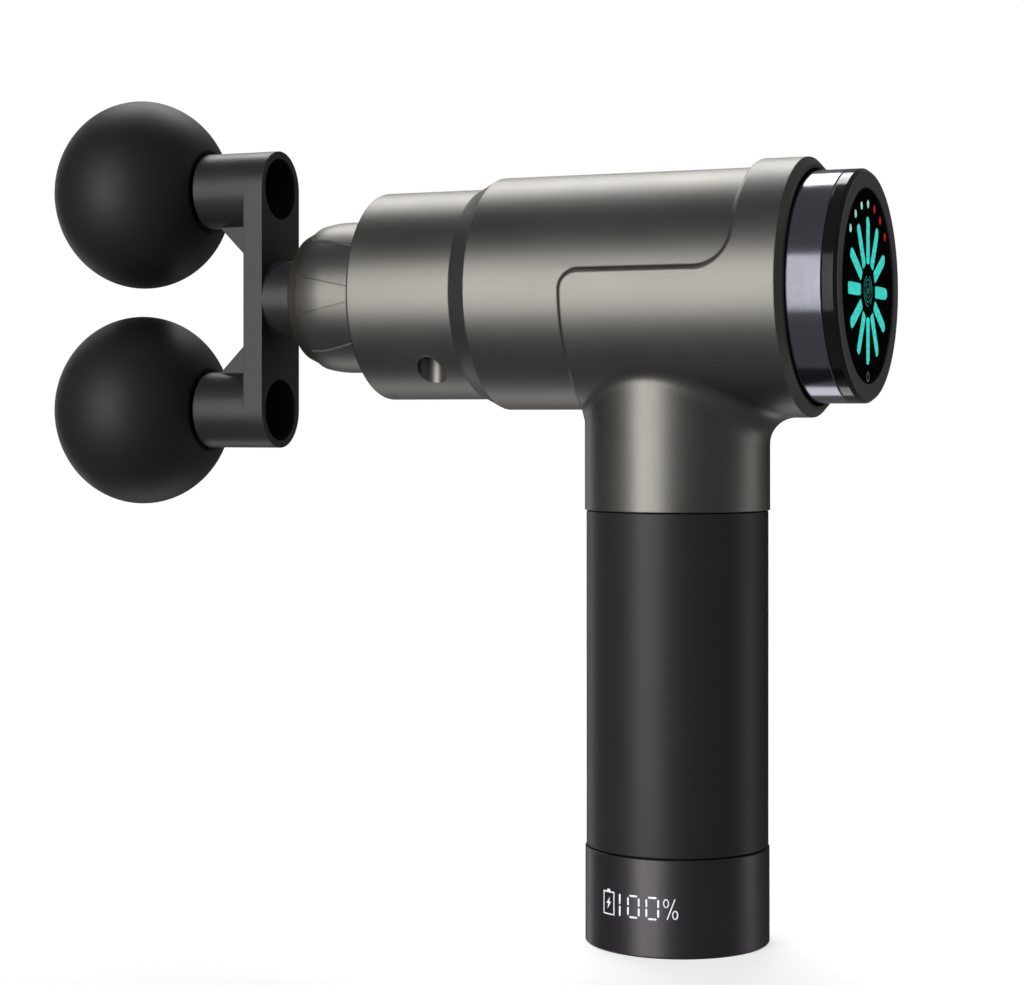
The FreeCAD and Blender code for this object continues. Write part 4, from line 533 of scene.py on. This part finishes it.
def dot_tree(centre, face_x):
    """Round dots on an arc above the dial; angles are clockwise from the top."""
    tree, asked, end = new_tree("dot_rule", {"Count": 4, "Arc": 0.022, "Dot": 0.00105, "First": FIRST_DOT,
                                             "Step": DOT_STEP})
    dots = add(tree, "GeometryNodePoints", {"Count": asked.outputs["Count"]})
    number = add(tree, "GeometryNodeInputIndex")
    spread = add(tree, "ShaderNodeMath", {0: number.outputs[0], 1: asked.outputs["Step"],
                                          2: asked.outputs["First"]}, operation="MULTIPLY_ADD")
    across = add(tree, "ShaderNodeMath", {0: spread.outputs[0]}, operation="SINE")
    above = add(tree, "ShaderNodeMath", {0: spread.outputs[0]}, operation="COSINE")
    way = add(tree, "ShaderNodeCombineXYZ", {"X": across.outputs[0], "Y": above.outputs[0]})
    place = add(tree, "ShaderNodeVectorMath", {0: way.outputs[0], "Scale": asked.outputs["Arc"]},
                operation="SCALE")
    spaced = add(tree, "GeometryNodeSetPosition", {"Geometry": dots.outputs[0],
                                                   "Position": place.outputs[0]})
    disc = add(tree, "GeometryNodeMeshCylinder", {"Vertices": 32, "Radius": asked.outputs["Dot"],
                                                  "Depth": MARK_THICK})
    laid = add(tree, "GeometryNodeInstanceOnPoints", {"Points": spaced.outputs[0],
                                                      "Instance": disc.outputs[0]})
    finish_tree(tree, asked, end, laid.outputs[0], FACE_DISPLAY,
                (face_x - MARK_THICK / 2, centre.y, centre.z))
    return tree


dots = dot_tree(dial, high.x)
grow("speed_dot_set", dots, "housing", "green_light", ["speed_dots"])
grow("load_dot_set", dots, "housing", "red_light", ["load_dots"], Count=3, First=DOT_STEP)

# %% [markdown]
# ## Studio
# The floor is a wide pale sheet that is clear from below, so that the underside can be looked at.
# Polished shapes are lit by what they reflect, so the light is a few large soft boxes in a fairly dark
# room: one low beside the camera that lays a bright band along the barrel and down the neck, one behind
# and above that draws the barrel's upper edge, and a weak one on the display's side. The room is white
# only where the camera sees it directly, and it has a black flag behind the display, so that the dark
# glass has something dark to reflect.

# %% Floor
HALF = 6.0
FADE_FROM, FADE_TO = 0.15, 0.8           # from the handle's foot
floor_mesh = bpy.data.meshes.new("floor")
floor_mesh.from_pydata([(-HALF, -HALF, 0), (HALF, -HALF, 0), (HALF, HALF, 0), (-HALF, HALF, 0)], [],
                       [(0, 1, 2, 3)])
floor = bpy.data.objects.new("floor", floor_mesh)
bpy.context.scene.collection.objects.link(floor)
floor_paint = bpy.data.materials.new("matte studio paint, white")
floor_paint.use_nodes = True
tree = floor_paint.node_tree
tree.nodes.clear()
ray = add(tree, "ShaderNodeLightPath")
seen = add(tree, "ShaderNodeBsdfDiffuse", {"Color": paint("f2f2f2")})
glow = add(tree, "ShaderNodeEmission", {"Color": paint("ffffff"), "Strength": 0.62})
close = add(tree, "ShaderNodeAddShader", {0: seen.outputs[0], 1: glow.outputs[0]})
haze = add(tree, "ShaderNodeEmission", {"Color": paint("ffffff"), "Strength": 1.0})
where = add(tree, "ShaderNodeTexCoord")
away = add(tree, "ShaderNodeVectorMath", {0: where.outputs["Object"]}, operation="LENGTH")
fade = add(tree, "ShaderNodeMapRange", {"Value": away.outputs["Value"], "From Min": FADE_FROM,
                                        "From Max": FADE_TO})
pale = add(tree, "ShaderNodeMixShader", {0: fade.outputs[0], 1: close.outputs[0], 2: haze.outputs[0]})
dim = add(tree, "ShaderNodeBsdfDiffuse", {"Color": paint("6a6a6a")})
kind = add(tree, "ShaderNodeMixShader", {0: ray.outputs["Is Camera Ray"], 1: dim.outputs[0],
                                         2: pale.outputs[0]})
side = add(tree, "ShaderNodeNewGeometry")
clear = add(tree, "ShaderNodeBsdfTransparent")
sheet = add(tree, "ShaderNodeMixShader", {0: side.outputs["Backfacing"], 1: kind.outputs[0],
                                          2: clear.outputs[0]})
add(tree, "ShaderNodeOutputMaterial", {"Surface": sheet.outputs[0]})
floor_mesh.materials.append(floor_paint)
floor.visible_glossy = floor.visible_shadow = False

# %% Room
FLAG_WAY = (0.208, 0.978, 0.0)
FLAG_EDGE = (0.955, 0.985)               # cosines between which the room falls to black
ROOM_LIGHT, FLAG_LIGHT = 0.5, 0.02

world = bpy.data.worlds.new("studio_room")
bpy.context.scene.world = world
world.use_nodes = True
tree = world.node_tree
tree.nodes.clear()
ray = add(tree, "ShaderNodeLightPath")
way = add(tree, "ShaderNodeTexCoord")
flag = add(tree, "ShaderNodeVectorMath", {0: way.outputs["Generated"], 1: FLAG_WAY},
           operation="DOT_PRODUCT")
level = add(tree, "ShaderNodeMapRange", {"Value": flag.outputs["Value"], "From Min": FLAG_EDGE[0],
                                         "From Max": FLAG_EDGE[1], "To Min": ROOM_LIGHT,
                                         "To Max": FLAG_LIGHT})
room = add(tree, "ShaderNodeBackground", {"Color": paint("8c8c90"), "Strength": level.outputs[0]})
white = add(tree, "ShaderNodeBackground", {"Color": paint("ffffff"), "Strength": 1.0})
shown = add(tree, "ShaderNodeMixShader", {0: ray.outputs["Is Camera Ray"], 1: room.outputs[0],
                                          2: white.outputs[0]})
add(tree, "ShaderNodeOutputWorld", {"Surface": shown.outputs[0]})


# %% Soft boxes
GUN_MIDDLE = Vector((-0.03, 0.0, 0.16))


def softbox(name, way, distance, size, power):
    """Area lamp at a distance along a direction from the gun's middle, facing it."""
    lamp = bpy.data.lights.new(name, "AREA")
    lamp.shape, lamp.size, lamp.size_y, lamp.energy = "RECTANGLE", size[0], size[1], power
    box = bpy.data.objects.new(name, lamp)
    aim = Vector(way).normalized()
    box.location = GUN_MIDDLE + aim * distance
    box.rotation_euler = aim.to_track_quat("Z", "Y").to_euler()
    bpy.context.scene.collection.objects.link(box)
    print(name, [round(v, 2) for v in box.location])


softbox("key_box", (-0.407, -0.914, 0.07), 1.3, (0.28, 1.15), 6.6)
softbox("fill_card", (-0.19, -0.98, 0.03), 1.3, (0.22, 1.3), 0.75)
softbox("front_card", (-0.087, -0.996, 0.03), 1.3, (0.24, 1.2), 4.0)
softbox("back_box", (-0.33, 0.55, 0.77), 1.3, (0.9, 0.55), 8)
softbox("right_rim", (0.87, 0.50, 0.0), 1.3, (0.45, 1.4), 2.0)
softbox("left_rim", (-0.85, 0.53, 0.0), 1.3, (0.25, 1.4), 1.4)
softbox("low_card", (-0.30, 0.55, -0.78), 1.2, (0.9, 0.35), 1.4)
